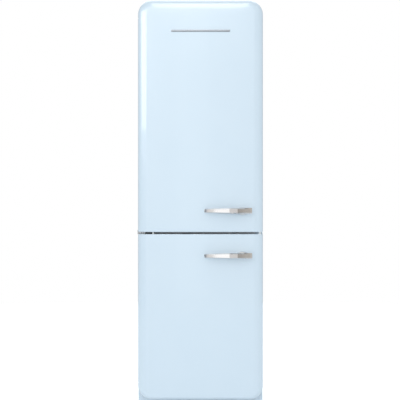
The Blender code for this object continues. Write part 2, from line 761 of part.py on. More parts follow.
def make_hinge_cover():
    """Black cover in front of the middle hinge, following the doors' rolled edge."""
    left, right, recess, steps = -0.2930, -0.2295, 0.003, 8
    front = []
    for step in range(steps + 1):
        x = left + (right - left) * step / steps
        front.append((x, face_y(x) + recess))
    outline = [*front, (right, back(-0.0503)), (left, back(-0.0503))]
    outline_part("middle_hinge_cover", outline, 0.009, "black", (0.0, 0.0, GAP_HEIGHT))


# --- doors -----------------------------------------------------------------------------------


class Door:
    """One door: the edge at the gap, the far edge, and how the far edge is rounded."""

    def __init__(self, name, gap_edge, far_edge, far_roll, radius, hinge_z):
        self.name = name
        self.gap_edge = gap_edge
        self.far_edge = far_edge
        self.far_roll = far_roll
        self.radius = radius
        self.hinge_z = hinge_z
        self.upwards = 1 if far_edge > gap_edge else -1


UPPER = Door("upper", GAP_HEIGHT + DOOR_GAP / 2, HEIGHT, SIDE_ROLL, TOP_RADIUS, TOP_HINGE_Z)
LOWER = Door("lower", GAP_HEIGHT - DOOR_GAP / 2, 0.0437, 0.022, 0.068, LOW_HINGE_Z)


def face_depth(x, inset=0.0):
    """How far the flat of the face stands in front of the start of the roll."""
    return ROLL_DEPTH + CROWN * (1 - (x / HALF_WIDTH) ** 2) - inset


def face_y(x):
    """World Y of the door's face at this x, on the roll or on the flat."""
    roll = min((HALF_WIDTH - abs(x)) / SIDE_ROLL, 1.0)
    return back(-ROLL_START - face_depth(x) * math.sqrt(1 - (1 - roll) ** 2))


def quarter_rise(distance, radius):
    """Height of a quarter circle's edge at this distance from its tangent."""
    if distance >= radius:
        return 0.0
    return radius - math.sqrt(radius ** 2 - (radius - distance) ** 2)


def door_ring(door, side, far, gap, y):
    """A ring of points round the door, moved inwards at the sides, the far edge and the gap edge.

    gap and y are functions of x. The ring runs along the gap edge and back along the far edge.
    """
    half = HALF_WIDTH - side
    radius_x = max(door.radius - side, 0.006)
    radius_z = max(door.radius - far, 0.006)
    corner = arc((radius_x - half, -radius_z), (-radius_x, radius_z), 0, 90, CORNER_STEPS)[:-1]
    flat = [((half - radius_x) * (2 * step / FACE_STEPS - 1), 0.0) for step in range(FACE_STEPS + 1)]
    columns = [*corner, *flat, *[(-x, drop) for x, drop in reversed(corner)]]
    near, away = [], []
    for x, drop in columns:
        rise = gap(x) + quarter_rise(half - abs(x), GAP_EDGE)
        near.append((x, y(x), door.gap_edge + door.upwards * rise))
        away.append((x, y(x), door.far_edge + door.upwards * (drop - far)))
    ring = near + away[::-1]
    return ring if door.upwards > 0 else ring[::-1]


def flat_ring(door, side, gap, depth):
    """A ring in one plane, moved in by side at the sides and the far edge."""
    return door_ring(door, side, side, lambda x: gap, lambda x: back(depth))


def roll_rings(door, inset):
    """The rings of the rolled edge, from the start of the roll to the face."""
    rings = []
    for step in range(ROLL_STEPS + 1):
        angle = math.pi / 2 * step / ROLL_STEPS
        roll, reach = 1 - math.cos(angle), math.sin(angle)
        side = inset + (SIDE_ROLL - inset) * roll
        far = inset + (door.far_roll - inset) * roll

        def gap(x, reach=reach):
            return inset + quarter_rise(face_depth(x, inset) * (1 - reach), GAP_EDGE)

        def y(x, reach=reach):
            return back(-ROLL_START - face_depth(x, inset) * reach)

        rings.append(door_ring(door, side, far, gap, y))
    return rings


def door_cutter(door, name):
    """The slot of the side hinge and the holes of both hinge pins."""
    z = door.hinge_z
    middle = GAP_HEIGHT + door.upwards * 0.0214
    low = (PIN_X - 0.025, back(-0.0515), z - 0.0036)
    slot = boxes_mesh([(low, (PIN_X + 0.008, back(-0.010), z + 0.0036))])
    side_hole = cylinders_mesh([((PIN_X, PIN_Y, z - 0.014), (PIN_X, PIN_Y, z + 0.014), 0.0046)])
    gap_hole = cylinders_mesh([((PIN_X, PIN_Y, GAP_HEIGHT), (PIN_X, PIN_Y, middle), 0.0046)])
    return [helper_from(body, f"{name}_{label}") for body, label in (
        (slot, "slot"), (side_hole, "side_hole"), (gap_hole, "gap_hole"))]


def make_door_shell(door):
    """Painted skin, foam core, inner liner and gasket of one door."""
    name = door.name + "_door"
    bm = bmesh.new()
    loft(bm, [flat_ring(door, 0.0, 0.0, -DOOR_REAR), *roll_rings(door, 0.0)], cap_end=True)
    skin = part_from(bm, name + "_skin", "enamel")
    thicken(skin, SHEET)

    inset = SHEET + CLEAR
    foam_back = -DOOR_REAR - LINER_SHEET - CLEAR
    panel = PANEL_INSET + 0.0026
    foam = lofted_part(name + "_foam", [
        flat_ring(door, panel + 0.0056, PANEL_GAP_INSET + 0.0082, foam_back + LINER_RISE),
        flat_ring(door, panel, PANEL_GAP_INSET + 0.0026, foam_back),
        flat_ring(door, inset, inset, foam_back),
        *roll_rings(door, inset),
    ], "foam")

    bm = bmesh.new()
    loft(bm, [
        flat_ring(door, PANEL_INSET + 0.006, PANEL_GAP_INSET + 0.006, LINER_RISE - DOOR_REAR),
        flat_ring(door, PANEL_INSET, PANEL_GAP_INSET, -DOOR_REAR),
        flat_ring(door, inset, inset, -DOOR_REAR),
    ], cap_start=True)
    liner = part_from(bm, name + "_liner", "liner")
    thicken(liner, LINER_SHEET)
    for part in (skin, foam, liner):
        for cutter in door_cutter(door, part.name):
            combine(part, cutter)

    seal_rear, seal_front = -CLEAR, -DOOR_REAR + CLEAR
    gasket = lofted_part(name + "_gasket", [
        flat_ring(door, 0.0225, 0.014, seal_rear), flat_ring(door, 0.0225, 0.014, seal_front),
        flat_ring(door, 0.0345, 0.026, seal_front), flat_ring(door, 0.0345, 0.026, seal_rear),
    ], "rubber", loop=True)
    return [skin, foam, liner, gasket]


def make_door_furniture(liner):
    """Two upright ribs on the liner, three bins between them, and the flip lid of the top bin."""
    ribs = []
    for side in (-1, 1):
        xs = sorted((side * DYKE_HALF, side * 0.222))
        ribs.append(((xs[0], back(-0.0050), 0.920), (xs[1], back(0.050), 1.840)))
    combine(liner, helper_from(boxes_mesh(ribs), "liner_ribs"), "UNION")
    front, half = -0.0037, DYKE_HALF - CLEAR
    bins = (("door_bin_top", 1.700, 1.755, 0.092), ("door_bin_middle", 1.360, 1.450, BIN_REAR),
            ("door_bin_bottle", 0.930, 1.050, BIN_REAR))
    parts = [make_tray(name, half, low, high, front, rear, "clear") for name, low, high, rear in bins]
    depth, z = LID_PIVOT
    sheet, barrel, edge = 0.003, 0.003, 0.096
    profile = arc((back(depth), z), (barrel, barrel), 60, 300, 8)
    profile += [(back(edge - sheet), z - 0.0015), (back(edge - sheet), z - 0.0375), (back(edge), z - 0.0375),
                (back(edge), z + 0.0005), (back(edge - 0.001), z + 0.0015)]
    rings = [[(x, u, v) for u, v in profile] for x in (-0.1997, 0.1997)]
    bm = bmesh.new()
    loops = [[bm.verts.new(point) for point in ring] for ring in rings]
    count = len(profile)
    for i in range(count):
        j = (i + 1) % count
        bm.faces.new((loops[0][i], loops[0][j], loops[1][j], loops[1][i]))
    bm.faces.new(loops[0])
    bm.faces.new(loops[1][::-1])
    bmesh.ops.recalc_face_normals(bm, faces=bm.faces)
    lid = part_from(bm, "dairy_lid", "clear", (0.0, back(depth), z))
    return [*parts, lid]


def oval_ring(x, y, z, half_depth, half_height, count=12):
    """An upright rounded section of a bar that runs along X."""
    points = []
    for step in range(count):
        angle = 2 * math.pi * (step + 0.5) / count
        u, v = math.cos(angle), math.sin(angle)
        points.append((x, y + half_depth * math.copysign(abs(u) ** 0.6, u),
                       z + half_height * math.copysign(abs(v) ** 0.6, v)))
    return points


def make_handle(door):
    """Chromed base on the door's face, and the lever that reaches from it towards the middle."""
    z = HANDLE_HEIGHTS[door.name]
    base_z = z - door.upwards * BASE_SHIFT
    rings = []
    for scale, depth in ((1.0, None), (1.0, 0.0935), (0.86, 0.1010), (0.80, 0.1040)):
        ring = []
        for step in range(24):
            angle = 2 * math.pi * step / 24
            x = BASE_CENTRE + BASE_HALF_WIDTH * scale * math.cos(angle)
            y = face_y(x) - 2 * CLEAR if depth is None else back(-depth)
            ring.append((x, y, base_z + BASE_HALF_HEIGHT * scale * math.sin(angle)))
        rings.append(ring)
    base = lofted_part(f"{door.name}_handle_base", rings, "chrome")

    # Along the lever: x, depth of its back and of its front, and half its height.
    sections = (
        (LEVER_TIP, 0.1180, 0.1235, 0.0060),
        (LEVER_TIP + 0.0025, 0.1150, 0.1265, 0.0092),
        (LEVER_TIP + 0.0200, 0.1140, 0.1290, 0.0100),
        (0.0800, 0.1125, 0.1305, 0.0118),
        (0.1300, 0.1110, LEVER_FACE, 0.0134),
        (0.1375, 0.1100, LEVER_FACE, 0.0138),
        (0.1450, 0.1080, 0.1305, 0.0138),
        (0.1650, 0.1050, 0.1290, 0.0138),
        (0.1760, 0.1046, 0.1275, 0.0139),
        (0.2050, 0.1046, 0.1230, 0.0140),
        (0.2300, 0.1046, 0.1170, 0.0140),
        (LEVER_ROOT - 0.0025, 0.1050, 0.1120, 0.0136),
        (LEVER_ROOT, 0.1065, 0.1095, 0.0120),
    )
    rings = [oval_ring(x, back(-(rear + front) / 2), z, (front - rear) / 2, half)
             for x, rear, front, half in sections]
    lever = lofted_part(f"{door.name}_handle_lever", rings, "chrome")
    return [base, lever]


def make_badge():
    """Plain slim chrome bar near the top of the upper door, bent to the door's crown."""
    half, z, steps = 0.1410, 1.813, 10
    rings = []
    for step in range(steps + 1):
        x = half * (2 * step / steps - 1)
        height = 0.0050 if 0 < step < steps else 0.0036
        rings.append(oval_ring(x, face_y(x) - 0.0020, z, 0.0014, height, 8))
    return lofted_part("badge", rings, "chrome")


def hang_door(door, parts):
    """Put a door's parts under an empty on its hinge axis."""
    empty = bpy.data.objects.new(door.name + "_door", None)
    empty.location = (PIN_X, PIN_Y, GAP_HEIGHT)
    PARTS.objects.link(empty)
    for part in parts:
        part.parent = empty
        part.location = part.location - empty.location


def main():
    """Build every part."""
    make_outer_casing()
    make_foam_body()
    make_liners()
    make_cross_rail()
    make_rear_panel()
    make_base_pan()
    make_feet_and_rollers()
    make_compressor()
    make_condenser_tube()
    make_evaporator()
    make_freezer_duct()
    make_fridge_duct()
    make_mains_inlet()
    make_fridge_furniture()
    make_freezer_furniture()
    make_control_panel()
    make_side_hinge("top_hinge", TOP_HINGE_Z)
    make_side_hinge("bottom_hinge", LOW_HINGE_Z)
    make_middle_hinge()
    upper = make_door_shell(UPPER)
    upper += make_door_furniture(upper[2])
    upper += [*make_handle(UPPER), make_badge()]
    hang_door(UPPER, upper)
    hang_door(LOWER, [*make_door_shell(LOWER), *make_handle(LOWER)])


main()
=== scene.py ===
"""Looks of a tall two-door refrigerator-freezer with rounded corners and chromed lever handles."""

import json
import logging
import math
from dataclasses import dataclass, field
from enum import Enum
from typing import Callable, Iterable, Sequence

import bmesh
import bpy
from mathutils import Matrix, Vector

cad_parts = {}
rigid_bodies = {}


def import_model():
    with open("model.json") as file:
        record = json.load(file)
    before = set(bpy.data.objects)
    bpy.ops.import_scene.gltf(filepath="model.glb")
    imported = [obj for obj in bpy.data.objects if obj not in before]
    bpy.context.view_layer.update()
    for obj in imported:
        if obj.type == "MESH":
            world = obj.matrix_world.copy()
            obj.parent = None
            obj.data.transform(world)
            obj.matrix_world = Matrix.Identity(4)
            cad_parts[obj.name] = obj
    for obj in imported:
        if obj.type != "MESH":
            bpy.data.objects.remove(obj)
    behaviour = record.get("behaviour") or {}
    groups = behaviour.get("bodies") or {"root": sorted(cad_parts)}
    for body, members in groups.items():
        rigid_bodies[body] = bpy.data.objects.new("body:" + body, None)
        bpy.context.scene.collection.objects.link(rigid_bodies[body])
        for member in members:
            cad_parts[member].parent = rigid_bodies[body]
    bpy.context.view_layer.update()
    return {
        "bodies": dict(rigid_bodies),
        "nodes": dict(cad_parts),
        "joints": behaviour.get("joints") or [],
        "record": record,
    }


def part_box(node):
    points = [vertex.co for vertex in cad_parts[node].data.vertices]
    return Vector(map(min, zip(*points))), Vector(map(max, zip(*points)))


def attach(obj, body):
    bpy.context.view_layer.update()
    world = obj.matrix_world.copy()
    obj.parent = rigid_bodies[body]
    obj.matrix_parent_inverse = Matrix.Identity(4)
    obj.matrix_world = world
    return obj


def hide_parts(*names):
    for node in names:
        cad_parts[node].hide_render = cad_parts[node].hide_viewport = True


LOG = logging.getLogger("refrigerator")
MM = 0.001
Point = tuple[float, float, float]
Floats = Sequence[float]
Mesh, Object = bpy.types.Mesh, bpy.types.Object
BMVert, BMEdge, BMFace = bmesh.types.BMVert, bmesh.types.BMEdge, bmesh.types.BMFace
# How far from a plane, in metres, a corner still counts as lying on it.
SLACK = 1e-5


def linear(colour: str) -> tuple[float, float, float, float]:
    """Turn an sRGB hex colour into linear light.

    Args:
        colour: Six hex digits after a hash.

    Returns:
        Red, green, blue and alpha.
    """
    parts = [int(colour[i:i + 2], 16) / 255 for i in (1, 3, 5)]
    turned = [part / 12.92 if part <= 0.04045 else ((part + 0.055) / 1.055) ** 2.4 for part in parts]
    return (turned[0], turned[1], turned[2], 1.0)


# --- materials -------------------------------------------------------------------------------


def add_node(tree: bpy.types.NodeTree, kind: str, settings: dict | None = None,
             values: dict | None = None, links: dict | None = None) -> bpy.types.Node:
    """Add a node with its settings, socket values and incoming links.

    Args:
        tree: The node tree that gets the node.
        kind: The node's type.
        settings: Attributes of the node.
        values: Default values of its input sockets.
        links: Output sockets that feed its input sockets.

    Returns:
        The new node.
    """
    node = tree.nodes.new(kind)
    for key, value in (settings or {}).items():
        setattr(node, key, value)
    for key, value in (values or {}).items():
        node.inputs[key].default_value = value
    for key, socket in (links or {}).items():
        tree.links.new(socket, node.inputs[key])
    return node


@dataclass(frozen=True)
class Finish:
    """What every surface shares: a base colour, its variation, and a fine relief.

    Grain sizes are in millimetres, and relief is the depth of the bump in millimetres.
    """

    name: str
    colour: str
    dark: str
    roughness: float
    rough_spread: float = 0.05
    metallic: float = 0.0
    grain_mm: float = 2.0
    relief_mm: float = 0.02
    patch_mm: float = 120.0
    stretch: Point = (1.0, 1.0, 1.0)
    coat: float = 0.0
    coat_roughness: float = 0.03
    ior: float = 1.5
    transmission: float = 0.0
    alpha: float = 1.0
    glow: float = 0.0

    def build(self) -> bpy.types.Material:
        """Make the material.

        Returns:
            A material whose colour, roughness and relief vary on Object coordinates.
        """
        material = bpy.data.materials.new(self.name)
        material.use_nodes = True
        tree = material.node_tree
        shader = tree.nodes["Principled BSDF"]
        place = add_node(tree, "ShaderNodeTexCoord").outputs["Object"]
        scaled = add_node(tree, "ShaderNodeMapping", values={"Scale": self.stretch}, links={"Vector": place})
        patch = add_node(tree, "ShaderNodeTexNoise", values={"Scale": 1 / (self.patch_mm * MM),
                                                             "Detail": 3.0},
                         links={"Vector": scaled.outputs["Vector"]})
        grain = add_node(tree, "ShaderNodeTexNoise", values={"Scale": 1 / (self.grain_mm * MM),
                                                             "Detail": 2.0},
                         links={"Vector": scaled.outputs["Vector"]})
        tint = add_node(tree, "ShaderNodeMix", {"data_type": "RGBA"},
                        {"A": linear(self.dark), "B": linear(self.colour)}, {"Factor": patch.outputs["Fac"]})
        spread = add_node(
            tree, "ShaderNodeMapRange",
            values={"To Min": max(self.roughness - self.rough_spread, 0.0),
                    "To Max": self.roughness + self.rough_spread},
            links={"Value": grain.outputs["Fac"]},
        )
        bump = add_node(tree, "ShaderNodeBump", values={"Strength": 1.0, "Distance": self.relief_mm * MM},
                        links={"Height": grain.outputs["Fac"]})
        tree.links.new(tint.outputs["Result"], shader.inputs["Base Color"])
        tree.links.new(spread.outputs["Result"], shader.inputs["Roughness"])
        tree.links.new(bump.outputs["Normal"], shader.inputs["Normal"])
        self.set_shader(shader)
        return material

    def set_shader(self, shader: bpy.types.Node) -> None:
        """Set what is the same all over the surface on the shader's own sockets."""
        shader.inputs["Metallic"].default_value = self.metallic
        shader.inputs["Coat Weight"].default_value = self.coat
        shader.inputs["Coat Roughness"].default_value = self.coat_roughness
        shader.inputs["Transmission Weight"].default_value = self.transmission
        shader.inputs["Alpha"].default_value = self.alpha
        if self.glow:
            shader.inputs["Emission Color"].default_value = linear(self.colour)
            shader.inputs["Emission Strength"].default_value = self.glow
        if not self.metallic:
            shader.inputs["IOR"].default_value = self.ior


class Look(Enum):
    """Every finish on the object, by its common name and how it was made."""

    # Gloss enamel on sheet steel: a clear top layer over pastel paint, with faint orange peel.
    ENAMEL = Finish("baked_gloss_enamel_steel", "#d3e1eb", "#d0dfea", 0.32, 0.03, grain_mm=1.6,
                    relief_mm=0.004, coat=0.6, coat_roughness=0.05)
    # Polished chromium plate: mirror bright, with hair-fine polishing marks along the lever.
    CHROME = Finish("polished_chromium_plate", "#dcdcdc", "#cfcfd0", 0.09, 0.03, 1.0, grain_mm=0.6,
                    relief_mm=0.002, stretch=(0.15, 1.0, 1.0))
    # Satin chromium on the badge: greyer and softer than the levers, brushed lengthwise.
    SATIN = Finish("satin_chromium_plate", "#8d9297", "#7f858b", 0.34, 0.08, 1.0, grain_mm=0.5,
                   relief_mm=0.004,
                   stretch=(0.05, 1.0, 1.0))
    # Vacuum-formed polystyrene: satin white, with the soft unevenness of drawn sheet.
    LINER = Finish("vacuum_formed_polystyrene", "#eef1f3", "#e9edf0", 0.34, 0.05, grain_mm=9.0,
                   relief_mm=0.05)
    # Moulded ABS: satin white, with fine spark texture.
    ABS_WHITE = Finish("moulded_abs_white", "#e6e8e9", "#dfe2e4", 0.42, 0.05, grain_mm=0.7, relief_mm=0.02)
    # Moulded ABS: satin black, with fine spark texture.
    ABS_BLACK = Finish("moulded_abs_black", "#1b1c1e", "#141517", 0.45, 0.06, grain_mm=0.7, relief_mm=0.02)
    # Injection-moulded crystal polystyrene: clear, hard and shiny.
    CRYSTAL = Finish("crystal_polystyrene", "#e4f0f6", "#dbe9f1", 0.09, 0.03, grain_mm=14.0, relief_mm=0.02,
                     ior=1.59, alpha=0.30)
    # Toughened float glass: clear with a green cast at its edges.
    GLASS = Finish("toughened_float_glass", "#cfe6de", "#c4dfd5", 0.04, 0.01, grain_mm=40.0, relief_mm=0.01,
                   ior=1.52, alpha=0.28)
    # Zinc-plated steel of the hinges: grey metal with a slightly cloudy plating.
    PLATED = Finish("zinc_plated_steel", "#b8bbbd", "#a2a6a9", 0.32, 0.08, 1.0, grain_mm=1.2, relief_mm=0.01,
                    patch_mm=14.0)
    # Hot-dip galvanised sheet: mid grey, with crystals a few centimetres across.
    GALVANISED = Finish("galvanised_sheet", "#b9bdc0", "#9da2a6", 0.42, 0.08, 0.9, grain_mm=6.0,
                        relief_mm=0.01, patch_mm=28.0)
    # Rolled aluminium fins.
    ALUMINIUM = Finish("rolled_aluminium", "#d3d5d6", "#c2c5c7", 0.3, 0.06, 1.0, grain_mm=0.8, relief_mm=0.01,
                       stretch=(1.0, 1.0, 0.1))
    # Soft PVC door seal: matt pale grey.
    SEAL = Finish("extruded_soft_pvc", "#c9ccce", "#c0c4c6", 0.62, 0.06, grain_mm=1.0, relief_mm=0.02)
    # Black stoved paint on the compressor and the condenser.
    STOVED = Finish("stoved_black_paint", "#202124", "#17181a", 0.38, 0.08, grain_mm=1.4, relief_mm=0.03)
    # Drawn copper pipe, a little tarnished.
    COPPER = Finish("drawn_copper_pipe", "#c98a62", "#8f5a3c", 0.28, 0.08, 1.0, grain_mm=1.0, relief_mm=0.01,
                    patch_mm=18.0)
    # Rigid polyurethane foam: cream, with open bubbles.
    FOAM = Finish("rigid_polyurethane_foam", "#e6d9a8", "#d8c890", 0.9, 0.05, grain_mm=1.5, relief_mm=0.3)
    # Natural rubber of feet and rollers.
    RUBBER = Finish("moulded_rubber", "#26272a", "#1c1d20", 0.7, 0.08, grain_mm=0.8, relief_mm=0.04)
    # Opal lens of the lamp: milky white, softly lit from inside.
    OPAL = Finish("opal_lamp_lens", "#f6f6f2", "#efefea", 0.3, 0.05, grain_mm=3.0, relief_mm=0.03, glow=0.6)
    # Piano-black window of the display.
    DISPLAY = Finish("smoked_display_window", "#101216", "#0c0e12", 0.06, 0.02, grain_mm=20.0, relief_mm=0.01)
    # White nylon of plugs and switches.
    NYLON = Finish("moulded_nylon_white", "#f0f1ef", "#e8eae8", 0.4, 0.05, grain_mm=0.8, relief_mm=0.01)


MATERIALS: dict[Look, bpy.types.Material] = {}


def dressed(look: Look) -> bpy.types.Material:
    """The material of a look, made once.

    Args:
        look: Which finish.

    Returns:
        Its material.
    """
    if look not in MATERIALS:
        MATERIALS[look] = look.value.build()
    return MATERIALS[look]


# --- mesh helpers ----------------------------------------------------------------------------

X, Y, Z = range(3)


def span(edge: BMEdge, axis: int) -> float:
    """How far an edge runs along an axis."""
    return abs(edge.verts[0].co[axis] - edge.verts[1].co[axis])


def lies(item: BMEdge | BMFace, axis: int, place: float) -> bool:
    """Whether all corners of an edge or a face are at this place along an axis."""
    return all(abs(vert.co[axis] - place) < SLACK for vert in item.verts)


class Solid:
    """A shape under construction, in world coordinates."""

    def __init__(self) -> None:
        self.bm = bmesh.new()

    def box(self, low: Floats, high: Floats) -> list[BMVert]:
        """Add a box between two corners and return its corners."""
        first, last = Vector(low), Vector(high)
        place = Matrix.Translation((first + last) / 2) @ Matrix.Diagonal((last - first).to_4d())
        return bmesh.ops.create_cube(self.bm, size=1.0, matrix=place)["verts"]

    def rounded(self, low: Floats, high: Floats, radius: float, segments: int = 3) -> "Solid":
        """Add a box with every edge rounded."""
        edges = {edge for vert in self.box(low, high) for edge in vert.link_edges}
        self.bevel(edges, radius, segments)
        return self

    def cylinder(self, start: Floats, end: Floats, radius: float, sides: int = 32) -> "Solid":
        """Add a capped cylinder between two points."""
        first, last = Vector(start), Vector(end)
        along = last - first
        place = Matrix.Translation((first + last) / 2) @ along.to_track_quat("Z", "Y").to_matrix().to_4x4()
        bmesh.ops.create_cone(self.bm, cap_ends=True, segments=sides, radius1=radius, radius2=radius,
                              depth=along.length, matrix=place)
        return self

    def spin(self, profile: Sequence[tuple[float, float]], centre: Floats, steps: int = 48,
             axis: Floats = (0, 0, 1)) -> "Solid":
        """Turn a profile about an axis.

        Args:
            profile: Radius and height of each point, from one end of the axis to the other.
            centre: Where height zero of the axis is.
            steps: How many steps make a full turn.
            axis: The axis's direction.
        """
        turn = Vector((0, 0, 1)).rotation_difference(Vector(axis))
        corners = [self.bm.verts.new(Vector(centre) + turn @ Vector((radius, 0, height)))
                   for radius, height in profile]
        edges = [self.bm.edges.new(pair) for pair in zip(corners, corners[1:])]
        bmesh.ops.spin(self.bm, geom=[*corners, *edges], cent=centre, axis=axis, angle=math.tau, steps=steps,
                       use_merge=True)
        bmesh.ops.remove_doubles(self.bm, verts=[*self.bm.verts], dist=1e-6)
        bmesh.ops.recalc_face_normals(self.bm, faces=self.bm.faces)
        return self

    def screw(self, place: Floats, out: Floats, radius: float) -> None:
        """Add a pan-head screw with a socket.

        Args:
            place: The middle of the face that the head lies on.
            out: Which way the head points.
            radius: The head's radius.
        """
        shape = ((1.0, 0.0), (1.0, 0.25), (0.86, 0.5), (0.5, 0.62), (0.42, 0.2), (0.0, 0.2))
        self.spin([(radius * across, radius * up) for across, up in shape], place, 18, out)

    def edges(self, test: Callable[[BMEdge], bool]) -> list[BMEdge]:
        """The edges that pass a test."""
        return [edge for edge in self.bm.edges if test(edge)]

    def bevel(self, edges: Iterable[BMEdge], offset: float, segments: int) -> None:
        """Round edges to a radius."""
        bmesh.ops.bevel(self.bm, geom=list(edges), affect="EDGES", offset=offset, segments=segments,
                        profile=0.5,
                        material=-1, clamp_overlap=True)

    def slice(self, axis: int, place: float) -> None:
        """Cut new edges where a plane across an axis crosses the mesh."""
        across = Matrix.Identity(3)[axis]
        bmesh.ops.bisect_plane(self.bm, geom=[*self.bm.verts, *self.bm.edges, *self.bm.faces],
                               plane_co=across * place, plane_no=across, dist=1e-6)

    def delete(self, faces: Iterable[BMFace]) -> None:
        """Delete faces, with the edges and corners that only they use."""
        bmesh.ops.delete(self.bm, geom=list(faces), context="FACES")

    def faces(self, test: Callable[[BMFace], bool]) -> list[BMFace]:
        """The faces that pass a test."""
        return [face for face in self.bm.faces if test(face)]

    def mesh(self, name: str) -> Mesh:
        """Turn the shape into a mesh, and free it."""
        mesh = bpy.data.meshes.new(name)
        self.bm.to_mesh(mesh)
        self.bm.free()
        return mesh

    def dress(self, name: str, look: Look, body: str, replaced: Sequence[str] = (),
              sharp: float = 32.0) -> Object:
        """Turn the shape into a dressed piece. Arguments as for placed."""
        return placed(name, self.mesh(name), look, body, replaced, sharp)


def tub_mesh(low: Vector, high: Vector, wall: float, corner: float, foot: float, draft: float = 0.0,
             rim: float = 0.0) -> Mesh:
    """Mould an open tub with rounded corners, leaning walls and a turned-over rim.

    Args:
        low: The low corner of the space that the tub fills.
        high: The high corner of that space.
        wall: The wall's thickness.
        corner: Radius of the upright corners.
        foot: Radius round the floor.
        draft: How far each wall leans in at the floor.
        rim: How far the rim stands out and turns down.

    Returns:
        The tub's mesh.
    """
    shape = Solid()
    inner_low, inner_high = low + Vector((rim, rim, 0)), high - Vector((rim, rim, 0))
    shape.box(inner_low, inner_high)
    shape.bevel(shape.edges(lambda e: span(e, Z) > 1e-4), corner, 6)
    shape.bevel(shape.edges(lambda e: lies(e, Z, low.z)), foot, 4)
    shape.delete(shape.faces(lambda f: f.calc_center_median().z > high.z - 1e-5))
    middle, half = (low + high) / 2, (inner_high - inner_low) / 2
    for vert in shape.bm.verts:
        lean = draft * (high.z - vert.co.z) / (high.z - low.z)
        vert.co.x = middle.x + (vert.co.x - middle.x) * (1 - lean / half.x)
        vert.co.y = middle.y + (vert.co.y - middle.y) * (1 - lean / half.y)
    if rim:
        loop = shape.edges(lambda e: e.is_boundary)
        for grow, drop in ((rim, 0.0), (0.0, rim)):
            made = bmesh.ops.extrude_edge_only(shape.bm, edges=loop)["geom"]
            loop = [item for item in made if isinstance(item, BMEdge)]
            for vert in (item for item in made if isinstance(item, BMVert)):
                vert.co.x = middle.x + (vert.co.x - middle.x) * (1 + grow / half.x)
                vert.co.y = middle.y + (vert.co.y - middle.y) * (1 + grow / half.y)
                vert.co.z -= drop
    mesh = shape.mesh("tub")

    return thickened(mesh, wall, False)


def placed(name: str, mesh: bpy.types.Mesh, look: Look, body: str, replaced: Sequence[str] = (),
           sharp: float = 32.0) -> Object:
    """Link a mesh as a dressed piece that rides on a body.

    Args:
        name: The piece's name.
        mesh: Its mesh, in world coordinates.
        look: Its finish.
        body: The body that it moves with.
        replaced: CAD nodes that it stands for.
        sharp: The angle past which an edge stays sharp, in degrees.

    Returns:
        The new object.
    """
    mesh.materials.clear()
    mesh.materials.append(dressed(look))
    mesh.shade_smooth()
    mesh.set_sharp_from_angle(angle=math.radians(sharp))
    obj = bpy.data.objects.new(name, mesh)
    bpy.context.scene.collection.objects.link(obj)
    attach(obj, body)
    if replaced:
        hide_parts(*replaced)
    LOG.info("%s rides on %s", name, body)
    return obj


def applied(mesh: bpy.types.Mesh, prepare: Callable[[Object], list[Object]]) -> Mesh:
    """Run modifiers on a mesh and return the result.

    Args:
        mesh: The mesh to change.
        prepare: Adds the modifiers to a temporary object, and returns the helpers that they use.

    Returns:
        A new mesh with the modifiers applied.
    """
    obj = bpy.data.objects.new("temporary", mesh)
    bpy.context.scene.collection.objects.link(obj)
    helpers = prepare(obj)
    bpy.context.view_layer.update()
    graph = bpy.context.evaluated_depsgraph_get()
    result = bpy.data.meshes.new_from_object(obj.evaluated_get(graph))
    for used in (obj, *helpers):
        bpy.data.objects.remove(used, do_unlink=True)
    return result


def thickened(mesh: bpy.types.Mesh, thickness: float, even: bool = True) -> Mesh:
    """Give a sheet its thickness, on its inner side.

    Args:
        mesh: The sheet.
        thickness: How thick it becomes.
        even: Whether the thickness is kept round sharp folds.

    Returns:
        The solid mesh.
    """
    def prepare(obj: Object) -> list[Object]:
        """Add the modifier."""
        solid = obj.modifiers.new("sheet", "SOLIDIFY")
        solid.thickness = thickness
        solid.offset = -1.0
        solid.use_even_offset = even
        return []

    return applied(mesh, prepare)


def carved(mesh: bpy.types.Mesh, cutters: Sequence[Solid]) -> Mesh:
    """Cut each closed cutter out of a mesh.

    Args:
        mesh: The mesh to cut.
        cutters: Closed shapes, which are freed.

    Returns:
        The cut mesh.
    """
    def prepare(obj: Object) -> list[Object]:
        """Add one Boolean for each cutter."""
        helpers = []
        for cutter in cutters:
            helper = bpy.data.objects.new("cutter", cutter.mesh("cutter"))
            bpy.context.scene.collection.objects.link(helper)
            modifier = obj.modifiers.new("cut", "BOOLEAN")
            modifier.object = helper
            modifier.solver = "EXACT"
            helpers.append(helper)
        return helpers

    return applied(mesh, prepare)


def tubes(splines: Sequence[Sequence[Point]], radius: float, smooth: bool = False,
          resolution: int = 3) -> Mesh:
    """A mesh of round tubes along polylines or smooth curves.

    Args:
        splines: For each tube, the points of its centreline.
        radius: The tubes' radius.
        smooth: Whether the centreline is a smooth curve through the points.
        resolution: How round the section is.

    Returns:
        The mesh.
    """
    curve = bpy.data.curves.new("tubes", "CURVE")
    curve.dimensions = "3D"
    curve.bevel_depth = radius
    curve.bevel_resolution = resolution
    curve.use_fill_caps = True
    curve.resolution_u = 6
    for points in splines:
        spline = curve.splines.new("NURBS" if smooth else "POLY")
        spline.points.add(len(points) - 1)
        for point, place in zip(spline.points, points):
            point.co = (*place, 1.0)
        if smooth:
            spline.order_u = 4
            spline.use_endpoint_u = True
    obj = bpy.data.objects.new("tubes", curve)
    bpy.context.scene.collection.objects.link(obj)
    bpy.context.view_layer.update()
    mesh = bpy.data.meshes.new_from_object(obj.evaluated_get(bpy.context.evaluated_depsgraph_get()))
    bpy.data.objects.remove(obj, do_unlink=True)
    return mesh


# --- shared layout ---------------------------------------------------------------------------


